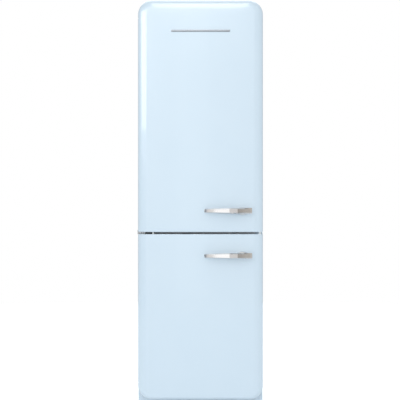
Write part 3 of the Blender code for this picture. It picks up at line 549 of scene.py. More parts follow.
@dataclass
class Layout:
    """Planes and axes that several sub-assemblies share, read from the frame."""

    half_width: float = 0.0
    front: float = 0.0
    gap_height: float = 0.0
    pin: tuple[float, float] = (0.0, 0.0)

    @classmethod
    def from_frame(cls, frame: dict) -> "Layout":
        """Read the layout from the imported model.


        Returns:
            The layout.
        """
        low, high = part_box("outer_casing")
        hinge = next(joint for joint in frame["joints"] if joint["name"] == "upper_door_hinge")
        return cls(high.x, low.y, hinge["pos_m"][2], (hinge["pos_m"][0], hinge["pos_m"][1]))

    def back(self, depth: float) -> float:
        """World Y of a point this far behind the cabinet's front plane."""
        return self.front + depth


# --- cabinet ---------------------------------------------------------------------------------


@dataclass
class Cabinet:
    """The wrapped steel casing."""

    layout: Layout
    corner: float = 0.072
    flange: float = 0.036
    sheet: float = 0.001
    fold: float = 0.0015
    niche_depth: float = 0.335
    niche_half: float = 0.262

    def casing(self) -> None:
        """Bend the casing from one sheet, with its front flange folded in."""
        low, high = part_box("outer_casing")
        shape = Solid()
        shape.box(low, high)
        upright = shape.edges(lambda e: span(e, Y) > 0.1 and e.verts[0].co.z > 1.0)
        shape.bevel(upright, self.corner, 28)
        rim = shape.edges(lambda e: lies(e, Y, low.y))
        shape.bevel(rim, self.fold, 3)
        shape.bm.faces.ensure_lookup_table()
        face = min(shape.bm.faces, key=lambda f: f.calc_center_median().y - f.calc_area())
        bmesh.ops.inset_region(shape.bm, faces=[face], thickness=self.flange - self.fold,
                               use_even_offset=True)
        back = shape.faces(lambda f: f.calc_center_median().y > high.y - 1e-4)
        shape.delete([face, *back])
        shape.slice(Y, self.layout.back(self.niche_depth))
        for side in (-1, 1):
            shape.slice(X, side * self.niche_half)
        shape.bm.normal_update()
        window = shape.faces(lambda f: f.normal.z < -0.9 and self.over_niche(f.calc_center_median()))
        shape.delete(window)
        mesh = shape.mesh("outer_casing_sheet")
        mesh = thickened(mesh, self.sheet)
        placed("casing_sheet", mesh, Look.ENAMEL, "cabinet", ["outer_casing"])

    def over_niche(self, centre: Vector) -> bool:
        """Whether a point of the bottom lies under the compressor niche."""
        return centre.y > self.layout.back(self.niche_depth) and abs(centre.x) < self.niche_half

    def niche_lining(self) -> None:
        """Line the compressor niche with folded sheet, so that no foam shows."""
        shape = Solid()
        low = (-self.niche_half + 0.0004, self.layout.back(self.niche_depth + 0.0008), 0.0242)
        high = (self.niche_half - 0.0004, self.layout.back(0.5560), 0.2494)
        shape.box(low, high)
        fold = shape.edges(lambda e: all(v.co.z > 0.2 or v.co.y < low[1] + 1e-4 for v in e.verts)
                           and not all(v.co.y > high[1] - 1e-4 or v.co.z < low[2] + 1e-4 for v in e.verts))
        shape.bevel(fold, 0.003, 3)
        open_sides = [f for f in shape.bm.faces if f.calc_center_median().y > high[1] - 1e-4
                      or f.calc_center_median().z < low[2] + 1e-4]
        shape.delete(open_sides)
        mesh = shape.mesh("niche_lining")
        placed("niche_lining", thickened(mesh, self.sheet), Look.GALVANISED, "cabinet")

    def panel_screws(self) -> None:
        """Screw the rear panel down along its sides and top."""
        low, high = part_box("rear_panel")
        y = self.layout.back(0.5583)
        shape = Solid()
        for side in (low.x + 0.012, high.x - 0.012):
            for height in (0.10, 0.30, 0.75, 1.15, 1.45, 1.86):
                shape.screw((side, y, height), (0, 1, 0), 0.0042)
        for x in (-0.12, 0.12):
            shape.screw((x, y, high.z - 0.014), (0, 1, 0), 0.0042)
        shape.dress("panel_screws", Look.PLATED, "cabinet")

    def foot(self, side: str) -> None:
        """Turn a levelling foot: a rubber disc on a threaded stem.

        Args:
            side: left or right.
        """
        low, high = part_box("front_foot_" + side)
        centre = (low + high) / 2
        radius = (high.x - low.x) / 2
        height = high.z - low.z
        profile = [(0.0, 0.0), (radius * 0.86, 0.0), (radius * 0.97, 0.0012), (radius, 0.003),
                   (radius, 0.0075),
                   (radius * 0.95, 0.0090), (0.0090, 0.0105), (0.0070, 0.0125)]
        turns = 5
        for turn in range(turns):
            start = 0.0130 + (height - 0.0140) * turn / turns
            profile += [(0.0040, start), (0.0048, start + (height - 0.0140) / turns / 2)]
        profile += [(0.0040, height - 0.0005), (0.0, height)]
        shape = Solid()
        shape.spin(profile, (centre.x, centre.y, low.z), 40)
        name = "front_foot_" + side
        shape.dress(name + "_turned", Look.RUBBER, name, [name])

    def roller(self, side: str) -> None:
        """Turn a rear roller: a rubber tyre with a hub, on its axle.

        Args:
            side: left or right.
        """
        name = "rear_roller_" + side
        low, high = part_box(name)
        radius, half = (high.z - low.z) / 2, (high.x - low.x) / 2
        one_side = ((0.0020, half), (0.0020, 0.0092), (0.0045, 0.0092), (0.0045, 0.0085), (0.0080, 0.0082),
                    (0.0092, 0.0088), (radius - 0.0005, 0.0080), (radius, 0.0066))
        profile = [(0.0, -half), *((r, -h) for r, h in one_side), *reversed(one_side), (0.0, half)]
        shape = Solid()
        shape.spin(profile, (low + high) / 2, 40, (1, 0, 0))
        shape.dress(name + "_turned", Look.RUBBER, name, [name])

    def hinge_screws(self) -> None:
        """Screw the hinge plates to the cabinet's front flange."""
        shape = Solid()
        for node in ("top_hinge", "bottom_hinge"):
            low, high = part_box(node)
            middle = (low.z + high.z) / 2
            for step in (-0.0088, 0.0088):
                shape.screw(((low.x + high.x) / 2, self.layout.back(-0.0032), middle + step), (0, -1, 0),
                            0.0034)
        for x in (-0.262, -0.240):
            for step in (-0.0105, 0.0105):
                shape.screw((x, self.layout.back(-0.0032), self.layout.gap_height + step), (0, -1, 0), 0.0034)
        shape.dress("hinge_screws", Look.PLATED, "cabinet")

    def build(self) -> None:
        """Build the cabinet's pieces."""
        self.casing()
        self.niche_lining()
        self.panel_screws()
        for side in ("left", "right"):
            self.foot(side)
            self.roller(side)
        self.hinge_screws()


# --- cooling at the rear ---------------------------------------------------------------------


@dataclass
class Cooling:
    """The condenser on the rear panel, and the compressor with its pipes in the niche."""

    layout: Layout
    rows: int = 15
    half: float = 0.190
    wire_radius: float = 0.0008
    wire_step: float = 0.0125
    centre: tuple[float, float] = (-0.090, 0.445)

    @property
    def depth(self) -> float:
        """Depth of the condenser tube's axis."""
        return 0.5896

    def condenser(self) -> None:
        """Bend the condenser tube to and fro, and weld upright wires on both of its sides."""
        low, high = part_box("condenser_tube")
        radius = 0.0024
        bottom, top = low.z + radius, high.z - radius
        step = (top - bottom) / (self.rows - 1)
        y = self.layout.back(self.depth)
        path: list[Point] = []
        for row in range(self.rows):
            side = 1 if row % 2 == 0 else -1
            z = bottom + step * row
            path.append((-side * self.half, y, z))
            path.append((side * self.half, y, z))
            if row < self.rows - 1:
                for turn in range(1, 12):
                    angle = math.pi * turn / 12 - math.pi / 2
                    path.append((side * (self.half + step / 2 * math.cos(angle)), y,
                                 z + step / 2 + step / 2 * math.sin(angle)))
        placed("condenser_tube_bent", tubes([path], radius, resolution=4), Look.STOVED, "cabinet",
               ["condenser_tube"], 60)
        wires = []
        count = int(2 * (self.half - 0.006) / self.wire_step)
        for layer in (1, -1):
            wire_y = y + layer * (radius + self.wire_radius * 0.8)
            for number in range(count + 1):
                x = (number - count / 2) * self.wire_step
                near_clip = 0.141 < abs(x) < 0.159
                if layer > 0 or not near_clip:
                    wires.append([(x, wire_y, bottom - 0.010), (x, wire_y, top + 0.010)])
        placed("condenser_wires", tubes(wires, self.wire_radius, resolution=1), Look.STOVED, "cabinet",
               sharp=80)

    def compressor(self) -> None:
        """Draw the compressor's two welded shells, and stand them on a sprung foot plate."""
        x, depth = self.centre
        low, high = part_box("compressor")
        base = low.z
        place = (x, self.layout.back(depth), base)
        scale = (high.z - low.z) / 0.175
        shells = ((0.0, 0.012), (0.030, 0.0125), (0.050, 0.018), (0.060, 0.032), (0.0640, 0.060),
                  (0.0645, 0.088),
                  (0.0650, 0.0895), (0.0668, 0.0900), (0.0668, 0.0960), (0.0650, 0.0965), (0.0645, 0.098),
                  (0.0640, 0.125), (0.0610, 0.150), (0.0500, 0.166), (0.030, 0.1738), (0.0, 0.175))
        shape = Solid()
        shape.spin([(radius, height * scale) for radius, height in shells], place, 72)
        shape.dress("compressor_shells", Look.STOVED, "cabinet", ["compressor"])
        shape = Solid()
        shape.rounded((x - 0.072, place[1] - 0.052, base + 0.0085),
                      (x + 0.072, place[1] + 0.052, base + 0.0110),
                       0.0010, 2)
        shape.dress("compressor_foot_plate", Look.PLATED, "cabinet")
        shape = Solid()
        for dx in (-0.062, 0.062):
            for dy in (-0.042, 0.042):
                shape.spin(((0.0035, 0.0005), (0.0095, 0.0005), (0.0095, 0.0080), (0.0065, 0.0086),
                            (0.0065, 0.0110),
                             (0.0090, 0.0116), (0.0090, 0.0150), (0.0035, 0.0158), (0.0035, 0.0005)),
                        (x + dx, place[1] + dy, base), 20)
        shape.dress("compressor_grommets", Look.RUBBER, "cabinet")

    def pipes(self) -> None:
        """Run copper pipes from the shells to the condenser and up into the foam."""
        x, depth = self.centre
        back = self.layout.back
        start = back(self.depth)
        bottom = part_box("condenser_tube")[0].z + 0.0024
        discharge = [(-self.half, start, bottom), (-self.half - 0.014, start, bottom - 0.002),
                     (-self.half - 0.020, start, bottom - 0.018), (-self.half - 0.020, start, 0.262),
                     (-self.half - 0.020, start - 0.002, 0.228), (-self.half - 0.016, back(0.565), 0.214),
                     (-self.half - 0.002, back(0.520), 0.208), (x - 0.078, back(0.480), 0.190),
                     (x - 0.066, back(depth + 0.010), 0.150), (x - 0.058, back(depth + 0.006), 0.120)]
        suction = [(x + 0.056, back(depth + 0.016), 0.130), (x + 0.072, back(depth + 0.024), 0.134),
                   (x + 0.090, back(depth + 0.030), 0.160), (x + 0.094, back(depth + 0.028), 0.210),
                   (x + 0.094, back(depth + 0.026), 0.2480)]
        process = [(x + 0.058, back(depth + 0.004), 0.098), (x + 0.074, back(depth + 0.008), 0.100),
                   (x + 0.084, back(depth + 0.010), 0.116), (x + 0.085, back(depth + 0.010), 0.138)]
        placed("copper_pipes", tubes([discharge, suction, process], 0.0029, True, 4), Look.COPPER, "cabinet",
               sharp=60)

    def relay_cover(self) -> None:
        """Mould the cover over the compressor's terminals."""
        low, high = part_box("relay_box")
        shape = Solid()
        shape.rounded(low, high, 0.004, 4)
        middle = (low + high) / 2
        shape.screw((middle.x, high.y - 0.0005, middle.z), (0, 1, 0), 0.0045)
        shape.dress("relay_cover", Look.ABS_BLACK, "cabinet", ["relay_box"])

    def inlet(self) -> None:
        """Mould the mains inlet with its socket, and set its three pins."""
        low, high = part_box("mains_inlet")
        middle = (low + high) / 2
        shape = Solid()
        shape.box(low, high)
        upright = shape.edges(lambda e: span(e, Y) > 1e-3)
        shape.bevel(upright, 0.0040, 4)
        face = max(shape.bm.faces, key=lambda f: f.calc_center_median().y)
        bmesh.ops.inset_region(shape.bm, faces=[face], thickness=0.0035, use_even_offset=True)
        made = bmesh.ops.extrude_discrete_faces(shape.bm, faces=[face])["faces"]
        bmesh.ops.translate(shape.bm, vec=(0, -0.0120, 0),
                            verts=[vert for item in made for vert in item.verts])
        shape.dress("inlet_body", Look.ABS_BLACK, "cabinet", ["mains_inlet"])
        shape = Solid()
        floor = high.y - 0.0120
        for x, z in ((-0.007, -0.003), (0.007, -0.003), (0.0, 0.0035)):
            shape.rounded((middle.x + x - 0.0020, floor - 0.0005, middle.z + z - 0.0010),
                           (middle.x + x + 0.0020, floor + 0.0085, middle.z + z + 0.0010), 0.0005, 2)
        shape.dress("inlet_pins", Look.PLATED, "cabinet")

    def evaporating_tray(self) -> None:
        """Mould the tray that catches defrost water."""
        low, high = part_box("drip_tray")
        mesh = tub_mesh(low, high, 0.0018, 0.012, 0.005, 0.003, 0.003)
        placed("evaporating_tray", mesh, Look.ABS_BLACK, "cabinet", ["drip_tray"])

    def build(self) -> None:
        """Build the cooling system's pieces."""
        self.condenser()
        self.compressor()
        self.pipes()
        self.relay_cover()
        self.evaporating_tray()
        self.inlet()


# --- drawers, shelves and bins ---------------------------------------------------------------


@dataclass
class Drawer:
    """A clear drawer with a white grip strip across its front."""

    node: str
    wall: float = 0.0022
    corner: float = 0.016
    strip: float = 0.020

    def build(self) -> None:
        """Mould the drawer and its grip."""
        low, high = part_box(self.node)
        front = low.y + 0.010
        mesh = tub_mesh(Vector((low.x, front, low.z)), high, self.wall, self.corner, 0.010, 0.004, 0.003)
        placed(self.node + "_tub", mesh, Look.CRYSTAL, self.node, [self.node])
        shape = Solid()
        half = (high.x - low.x) / 2
        top = high.z - 0.0010
        shape.rounded((-half + 0.016, front - 0.0035, top - self.strip), (half - 0.016, front - 0.0003, top),
                       0.0014, 3)
        shape.rounded((-half * 0.60, low.y, top - self.strip + 0.002),
                       (half * 0.60, front - 0.0030, top - self.strip + 0.0062), 0.0018, 3)
        shape.dress(self.node + "_grip", Look.ABS_WHITE, self.node)


@dataclass
class DoorBin:
    """A clear bin on the upper door, with a chromed rail along its front."""

    node: str
    rail: float = 0.009

    def build(self) -> None:
        """Mould the bin, and clip the rail on."""
        low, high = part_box(self.node)
        mesh = tub_mesh(low, high, 0.0022, 0.014, 0.008, 0.003)
        placed(self.node + "_tub", mesh, Look.CRYSTAL, "upper_door", [self.node])
        shape = Solid()
        shape.rounded((low.x + 0.010, high.y - 0.0005, high.z - self.rail),
                      (high.x - 0.010, high.y + 0.0025, high.z),
                       0.0011, 3)
        shape.dress(self.node + "_rail", Look.CHROME, "upper_door")


@dataclass
class Shelves:
    """Glass shelves with trims, and the chromed bottle rack."""

    edge: float = 0.0012

    def glass(self, node: str) -> None:
        """Grind and round one glass shelf.

        Args:
            node: The shelf's CAD node.
        """
        low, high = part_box(node)
        shape = Solid()
        shape.box(low, high)
        shape.bevel(shape.edges(lambda e: span(e, Z) > 1e-4), 0.008, 5)
        rim = shape.edges(lambda e: span(e, Z) < 1e-6)
        shape.bevel(rim, self.edge, 2)
        shape.dress(node + "_ground", Look.GLASS, "cabinet", [node])

    def rear_trim(self, node: str) -> None:
        """Clip a white stop along the rear of a glass shelf.

        Args:
            node: The shelf's CAD node.
        """
        low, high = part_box(node)
        shape = Solid()
        shape.rounded((low.x + 0.004, high.y - 0.011, high.z + 0.0002),
                      (high.x - 0.004, high.y - 0.001, high.z + 0.011),
                       0.0025, 3)
        shape.dress(node + "_stop", Look.ABS_WHITE, "cabinet")

    def front_trim(self, node: str) -> None:
        """Roll the chromed trim along the front of a glass shelf.

        Args:
            node: The trim's CAD node.
        """
        low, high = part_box(node)
        shape = Solid()
        shape.box(low, high)
        nose = shape.edges(lambda e: all(v.co.y < low.y + 1e-5 for v in e.verts)
                           and span(e, X) > 0.1)
        shape.bevel(nose, 0.0055, 6)
        ends = shape.faces(lambda f: abs(abs(f.normal.x) - 1) < 1e-3)
        bmesh.ops.inset_individual(shape.bm, faces=ends, thickness=0.0015, depth=-0.0006)
        shape.dress(node + "_rolled", Look.CHROME, "cabinet", [node])

    def rack(self) -> None:
        """Bend the bottle rack from chromed wire: wavy wires on straight runners."""
        low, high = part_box("bottle_rack")
        middle, radius = (low.z + high.z) / 2, 0.0021
        swing = (high.z - low.z) / 2 - radius
        periods, samples = 5, 90
        width = high.x - low.x - 2 * radius
        wires = []
        for row in range(9):
            y = low.y + 0.006 + (high.y - low.y - 0.012) * row / 8
            wires.append([(low.x + radius + width * i / samples, y,
                           middle + swing * math.cos(math.tau * periods * i / samples))
                          for i in range(samples + 1)])
        runner = middle + swing - 2 * radius * 0.9
        for side in range(periods + 1):
            x = low.x + radius + width * side / periods
            wires.append([(x, low.y + 0.001, runner), (x, high.y - 0.001, runner)])
        placed("bottle_rack_wires", tubes(wires, radius, resolution=3), Look.CHROME, "cabinet",
                      ["bottle_rack"], 60)

    def build(self) -> None:
        """Build every shelf and the rack."""
        for node in ("shelf_glass_1", "shelf_glass_2", "crisper_cover", "freezer_shelf_1", "freezer_shelf_2"):
            self.glass(node)
        for number in ("1", "2"):
            self.rear_trim("shelf_glass_" + number)
            self.front_trim("shelf_trim_" + number)
        self.rack()


@dataclass
class Controls:
    """The panel under the ceiling, with its buttons, its display and the lamp behind it."""

    bars: int = 5

    def button(self, node: str) -> None:
        """Turn a button with a dished face.

        Args:
            node: The button's CAD node, which is also its body.
        """
        low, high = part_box(node)
        middle = (low + high) / 2
        radius, length = (high.x - low.x) / 2, high.y - low.y
        profile = ((0.0, 0.0), (radius, 0.0), (radius, length - 0.0014), (radius - 0.0004, length - 0.0005),
                   (radius - 0.0012, length), (radius * 0.66, length - 0.0003),
                   (radius * 0.35, length - 0.0009),
                   (0.0, length - 0.0011))
        shape = Solid()
        shape.spin(profile, (middle.x, high.y, middle.z), 36, (0, -1, 0))
        shape.dress(node + "_turned", Look.SATIN, node, [node])

    def bezels(self) -> None:
        """Press a raised ring round each button's hole."""
        shape = Solid()
        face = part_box("control_panel")[0].y
        for node in ("power_button", "temp_button"):
            low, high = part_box(node)
            middle, radius = (low + high) / 2, (high.x - low.x) / 2
            ring = ((radius + 0.0008, 0.0), (radius + 0.0008, 0.0010), (radius + 0.0014, 0.0014),
                    (radius + 0.0026, 0.0011),
                    (radius + 0.0034, 0.0), (radius + 0.0008, 0.0))
            shape.spin(ring, (middle.x, face, middle.z), 36, (0, -1, 0))
        shape.dress("button_bezels", Look.CHROME, "cabinet")

    def display(self) -> None:
        """Set the dark window between the buttons, with its row of indicator bars."""
        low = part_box("control_panel")[0]
        z = sum(corner.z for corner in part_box("power_button")) / 2
        shape = Solid()
        shape.rounded((-0.028, low.y - 0.0009, z - 0.0068), (0.028, low.y + 0.0004, z + 0.0068), 0.0004, 2)
        shape.dress("display_window", Look.DISPLAY, "cabinet")
        shape = Solid()
        for number in range(self.bars):
            x = (number - (self.bars - 1) / 2) * 0.0095
            rise = 0.0012 + 0.0006 * number
            shape.rounded((x - 0.0026, low.y - 0.0011, z - rise), (x + 0.0026, low.y - 0.0004, z + rise),
                          0.0002, 2)
        shape.dress("display_bars", Look.OPAL, "cabinet")

    def lamp(self) -> None:
        """Mould the lamp's lens with ribs along its length."""
        low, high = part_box("lamp_cover")
        shape = Solid()
        shape.rounded((low.x, low.y, low.z + 0.0016), high, 0.0030, 3)
        ribs = 14
        for number in range(ribs):
            y = low.y + 0.008 + (high.y - low.y - 0.016) * number / (ribs - 1)
            shape.cylinder((low.x + 0.006, y, low.z + 0.0022), (high.x - 0.006, y, low.z + 0.0022), 0.0021,
                           10)
        shape.dress("lamp_lens", Look.OPAL, "cabinet", ["lamp_cover"])

    def build(self) -> None:
        """Build the panel's pieces and the lamp."""
        for node in ("power_button", "temp_button"):
            self.button(node)
        self.bezels()
        self.display()
        self.lamp()


# --- doors -----------------------------------------------------------------------------------


@dataclass
class Door:
    """One door: a pressed and rolled steel skin."""

    layout: Layout
    name: str
    far_roll: float
    corner: float
    hinge_z: float
    edge: float = 0.080
    start: float = 0.038
    rear: float = 0.014
    roll: float = 0.045
    crown: float = 0.012
    gap_radius: float = 0.006
    sheet: float = 0.001
    columns: int = 26
    rows: int = 14
    plug_x: float = 0.2836
    plug_setback: float = 0.0066

    @property
    def body(self) -> str:
        """The body that the door's pieces ride on."""
        return self.name + "_door"

    @property
    def upwards(self) -> int:
        """1 if the door's far edge is its top, or -1 if it is its bottom."""
        return 1 if self.name == "upper" else -1

    @property
    def z_range(self) -> tuple[float, float]:
        """Heights of the gap edge and of the far edge."""
        low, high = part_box(self.name + "_door_skin")
        return (low.z, high.z) if self.upwards > 0 else (high.z, low.z)

    def crown_at(self, x: float) -> float:
        """How far the face bulges at this x."""
        return self.crown * (1 - (x / self.layout.half_width) ** 2)

    def face_y(self, x: float) -> float:
        """World Y of the face at this x, away from the top and bottom edges."""
        inset = min((self.layout.half_width - abs(x)) / self.roll, 1.0)
        depth = self.edge - self.start + self.crown_at(x)
        return self.layout.back(-self.start - depth * math.sqrt(max(1 - (1 - inset) ** 2, 0.0)))

    def skin(self) -> None:
        """Press the skin: round the corners, roll the edges, then bulge the face."""
        half, (near, far) = self.layout.half_width, self.z_range
        front, rear = self.layout.back(-self.edge), self.layout.back(-self.rear)
        shape = Solid()
        shape.box((-half, front, min(near, far)), (half, rear, max(near, far)))
        corners = shape.edges(lambda e: span(e, Y) > 0.01
                              and abs(e.verts[0].co.z - far) < 1e-5)
        shape.bevel(corners, self.corner, 28)
        rim = shape.edges(lambda e: lies(e, Y, front)
                          and not lies(e, Z, near))
        shape.bevel(rim, self.roll, 20)
        for step in range(1, self.columns):
            shape.slice(X, half * (2 * step / self.columns - 1))
        for step in range(1, self.rows):
            shape.slice(Z, near + (far - near) * step / self.rows)
        self.press(shape, near, far)
        back = shape.faces(lambda f: lies(f, Y, rear))
        shape.delete(back)
        lip = shape.edges(lambda e: self.on_gap_lip(e, near, rear))
        shape.bevel(lip, self.gap_radius, 6)
        mesh = shape.mesh(self.name + "_skin")
        mesh = carved(thickened(mesh, self.sheet), self.cutters())
        placed(self.name + "_skin_pressing", mesh, Look.ENAMEL, self.body, [self.name + "_door_skin"])

    def on_gap_lip(self, edge: BMEdge, near: float, rear: float) -> bool:
        """Whether an edge runs round the flat at the gap, apart from its rear side."""
        if any(abs(v.co.z - near) > 1e-6 for v in edge.verts) or lies(edge, Y, rear):
            return False
        flat = [face for face in edge.link_faces if lies(face, Z, near)]
        return len(edge.link_faces) == 2 and len(flat) == 1

    def press(self, shape: Solid, near: float, far: float) -> None:
        """Bulge the face and, on a door with a tighter far roll, push the face out to that edge.

        Args:
            shape: The door, with a round roll.
            near: Height of the gap edge.
            far: Height of the far edge.
        """
        round_start = self.edge - self.roll
        for vert in shape.bm.verts:
            depth = self.layout.front - vert.co.y
            if depth <= round_start:
                share = (depth - self.rear) / (round_start - self.rear)
                depth = self.rear + share * (self.start - self.rear)
                reach = 0.0
            else:
                reach = min((depth - round_start) / self.roll, 1.0)
                depth = self.start + (self.edge - self.start + self.crown_at(vert.co.x)) * reach
            vert.co.y = self.layout.back(-depth)
            inset = 1 - math.sqrt(max(1 - reach ** 2, 0.0))
            along = abs(vert.co.z - near) / abs(far - near)
            fade = min(max((along - 0.3) / 0.4, 0.0), 1.0)
            vert.co.z += self.upwards * (self.roll - self.far_roll) * inset * fade

    def cutters(self) -> list[Solid]:
        """The slot of the side hinge and the hole of the pin at the gap."""
        x, y = self.layout.pin
        slot = Solid()
        slot.box((x - 0.025, self.layout.back(-0.0515), self.hinge_z - 0.0036),
               (x + 0.008, self.layout.back(-0.005), self.hinge_z + 0.0036))
        hole = Solid()
        near = self.z_range[0]
        hole.cylinder((x, y, near - 0.005), (x, y, near + self.upwards * 0.012), 0.0046)
        return [slot, hole]

    def gasket(self) -> None:
        """Extrude the seal's bellows round the door: each inset is one fold of its section."""
        name = self.name + "_door_gasket"
        low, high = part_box(name)
        folds = ((0.0008, 0.0040), (0.0004, 0.0008), (0.0008, 0.0040), (0.0012, 0.0028), (0.0022, 0.0008),
                 (0.0006, -0.0006), (0.0006, 0.0006), (0.0022, -0.0008), (0.0012, -0.0028), (0.0008, -0.0040),
                 (0.0004, -0.0008), (0.0006, -0.0036))
        shape = Solid()
        start = Vector((low.x, low.y + 0.0002, low.z)), Vector((high.x, low.y + 0.0030, high.z))
        shape.box(*start)
        far = high.z if self.upwards > 0 else low.z
        corners = shape.edges(lambda e: span(e, Y) > 1e-4
                              and abs(e.verts[0].co.z - far) < 1e-5)
        shape.bevel(corners, self.corner - 0.0225, 12)
        shape.delete(shape.faces(lambda f: f.calc_center_median().y < start[1].y - 1e-5))
        face = max(shape.bm.faces, key=lambda f: f.calc_area())
        for vert in shape.bm.verts:
            vert.co.y = start[0].y
        for width, rise in folds:
            bmesh.ops.inset_region(shape.bm, faces=[face], thickness=width, use_boundary=True,
                                   use_even_offset=True)
            for vert in face.verts:
                vert.co.y = min(vert.co.y + rise, high.y)
        shape.delete([face])
        shape.dress(name + "_bellows", Look.SEAL, self.body, [name], 50)

    def plug(self) -> None:
        """Press a white stop into the gap edge, near the free corner."""
        x = self.plug_x
        near = self.z_range[0]
        profile = ((0.0, -0.0042), (0.0040, -0.0042), (0.0056, -0.0030), (0.0060, 0.0), (0.0048, 0.0003),
                   (0.0044, 0.006),
                   (0.0, 0.006))
        shape = Solid()
        shape.spin([(radius, height * self.upwards) for radius, height in profile],
                (x, self.face_y(x) + self.plug_setback, near), 24)
        shape.dress(self.name + "_gap_stop", Look.NYLON, self.body)

    def build(self) -> None:
        """Build the door's pieces."""
        self.skin()
        self.gasket()
        self.plug()


# --- handles and badge -----------------------------------------------------------------------


@dataclass
class Handle:
    """A chromed lever on an oval base. Each section is x, rear depth, front depth and half height."""

    door: Door
    chamfer: float = 0.36
    slope: float = 1.2
    creases: tuple[float, ...] = (0.1375, 0.1760)
    sections: tuple[tuple[float, float, float, float], ...] = field(default=(
        (0.0174, 0.1180, 0.1200, 0.0066), (0.0192, 0.1160, 0.1222, 0.0086), (0.0218, 0.1150, 0.1242, 0.0096),
        (0.0252, 0.1145, 0.1258, 0.0100), (0.0300, 0.1142, 0.1269, 0.0102), (0.0420, 0.1138, 0.1280, 0.0105),
        (0.0600, 0.1131, 0.1292, 0.0111), (0.0800, 0.1125, 0.1303, 0.0118), (0.1050, 0.1118, 0.1313, 0.0126),
        (0.1300, 0.1110, 0.1320, 0.0134), (0.1375, 0.1100, 0.1321, 0.0138), (0.1450, 0.1080, 0.1312, 0.0138),
        (0.1760, 0.1046, 0.1275, 0.0139), (0.1900, 0.1046, 0.1252, 0.0140), (0.2050, 0.1046, 0.1222, 0.0140),
        (0.2200, 0.1046, 0.1185, 0.0140), (0.2330, 0.1046, 0.1150, 0.0140), (0.2430, 0.1046, 0.1128, 0.0139),
        (0.2455, 0.1050, 0.1116, 0.0135)))

    @property
    def height(self) -> float:
        """Height of the lever's middle."""
        low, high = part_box(self.door.name + "_handle_lever")
        return (low.z + high.z) / 2

    def lever(self) -> None:
        """Forge the lever: chamfer the long edges of a bar, cut it at every section, then size each one."""
        name = self.door.name + "_handle_lever"
        shape = Solid()
        shape.box((self.sections[0][0], -1.0, -1.0), (self.sections[-1][0], 1.0, 1.0))
        along = shape.edges(lambda e: span(e, X) > 1e-5)
        shape.bevel(along, self.chamfer, 1)
        for section in self.sections[1:-1]:
            shape.slice(X, section[0])
        sizes = {round(x, 4): (rear, front, half) for x, rear, front, half in self.sections}
        for vert in shape.bm.verts:
            rear, front, half = sizes[round(vert.co.x, 4)]
            full_depth, full_height = abs(vert.co.y) > 0.999, abs(vert.co.z) > 0.999
            cut = 0.0 if full_depth else min(self.slope * self.chamfer * half, 0.4 * (front - rear))
            depth = front - cut if vert.co.y < 0 else rear + cut
            rise = half if full_height else half * (1 - self.chamfer)
            vert.co = (vert.co.x, self.door.layout.back(-depth), self.height + math.copysign(rise, vert.co.z))
        lever = shape.dress(name + "_chrome", Look.CHROME, self.door.body, [name], 24)
        for edge in lever.data.edges:
            places = [lever.data.vertices[index].co.x for index in edge.vertices]
            if any(max(abs(place - crease) for place in places) < 2e-4 for crease in self.creases):
                edge.use_edge_sharp = True

    def base(self) -> None:
        """Raise the oval base off the door's face."""
        name = self.door.name + "_handle_base"
        low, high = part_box(name)
        centre = (low + high) / 2
        shape = Solid()
        layers = ((1.0, high.y), (1.0, low.y + 0.0110), (0.975, low.y + 0.0085), (0.90, low.y + 0.0050),
                  (0.84, low.y + 0.0015), (0.80, low.y))
        ring = bmesh.ops.create_circle(shape.bm, cap_ends=True, segments=64, radius=1.0)["verts"]
        angles = [math.atan2(v.co.y, v.co.x) for v in ring]
        for number, (scale, depth) in enumerate(layers):
            if number:
                order = {vert: i for i, vert in enumerate(ring)}
                edges = {edge for vert in ring for edge in vert.link_edges if edge.other_vert(vert) in order}
                out = bmesh.ops.extrude_edge_only(shape.bm, edges=list(edges))["geom"]
                made = [item for item in out if isinstance(item, BMVert)]
                below = {vert: next(e.other_vert(vert) for e in vert.link_edges
                                    if e.other_vert(vert) in order)
                         for vert in made}
                ring = sorted(made, key=lambda vert: order[below[vert]])
            for vert, angle in zip(ring, angles):
                x = centre.x + (high.x - centre.x) * scale * math.cos(angle)
                y = self.door.face_y(x) - 0.0004 if number == 0 else depth
                vert.co = (x, y, centre.z + (high.z - centre.z) * scale * math.sin(angle))
        bmesh.ops.contextual_create(shape.bm, geom=ring)
        bmesh.ops.recalc_face_normals(shape.bm, faces=shape.bm.faces)
        shape.dress(name + "_chrome", Look.CHROME, self.door.body, [name], 40)

    def build(self) -> None:
        """Build the handle's pieces."""
        self.lever()
        self.base()


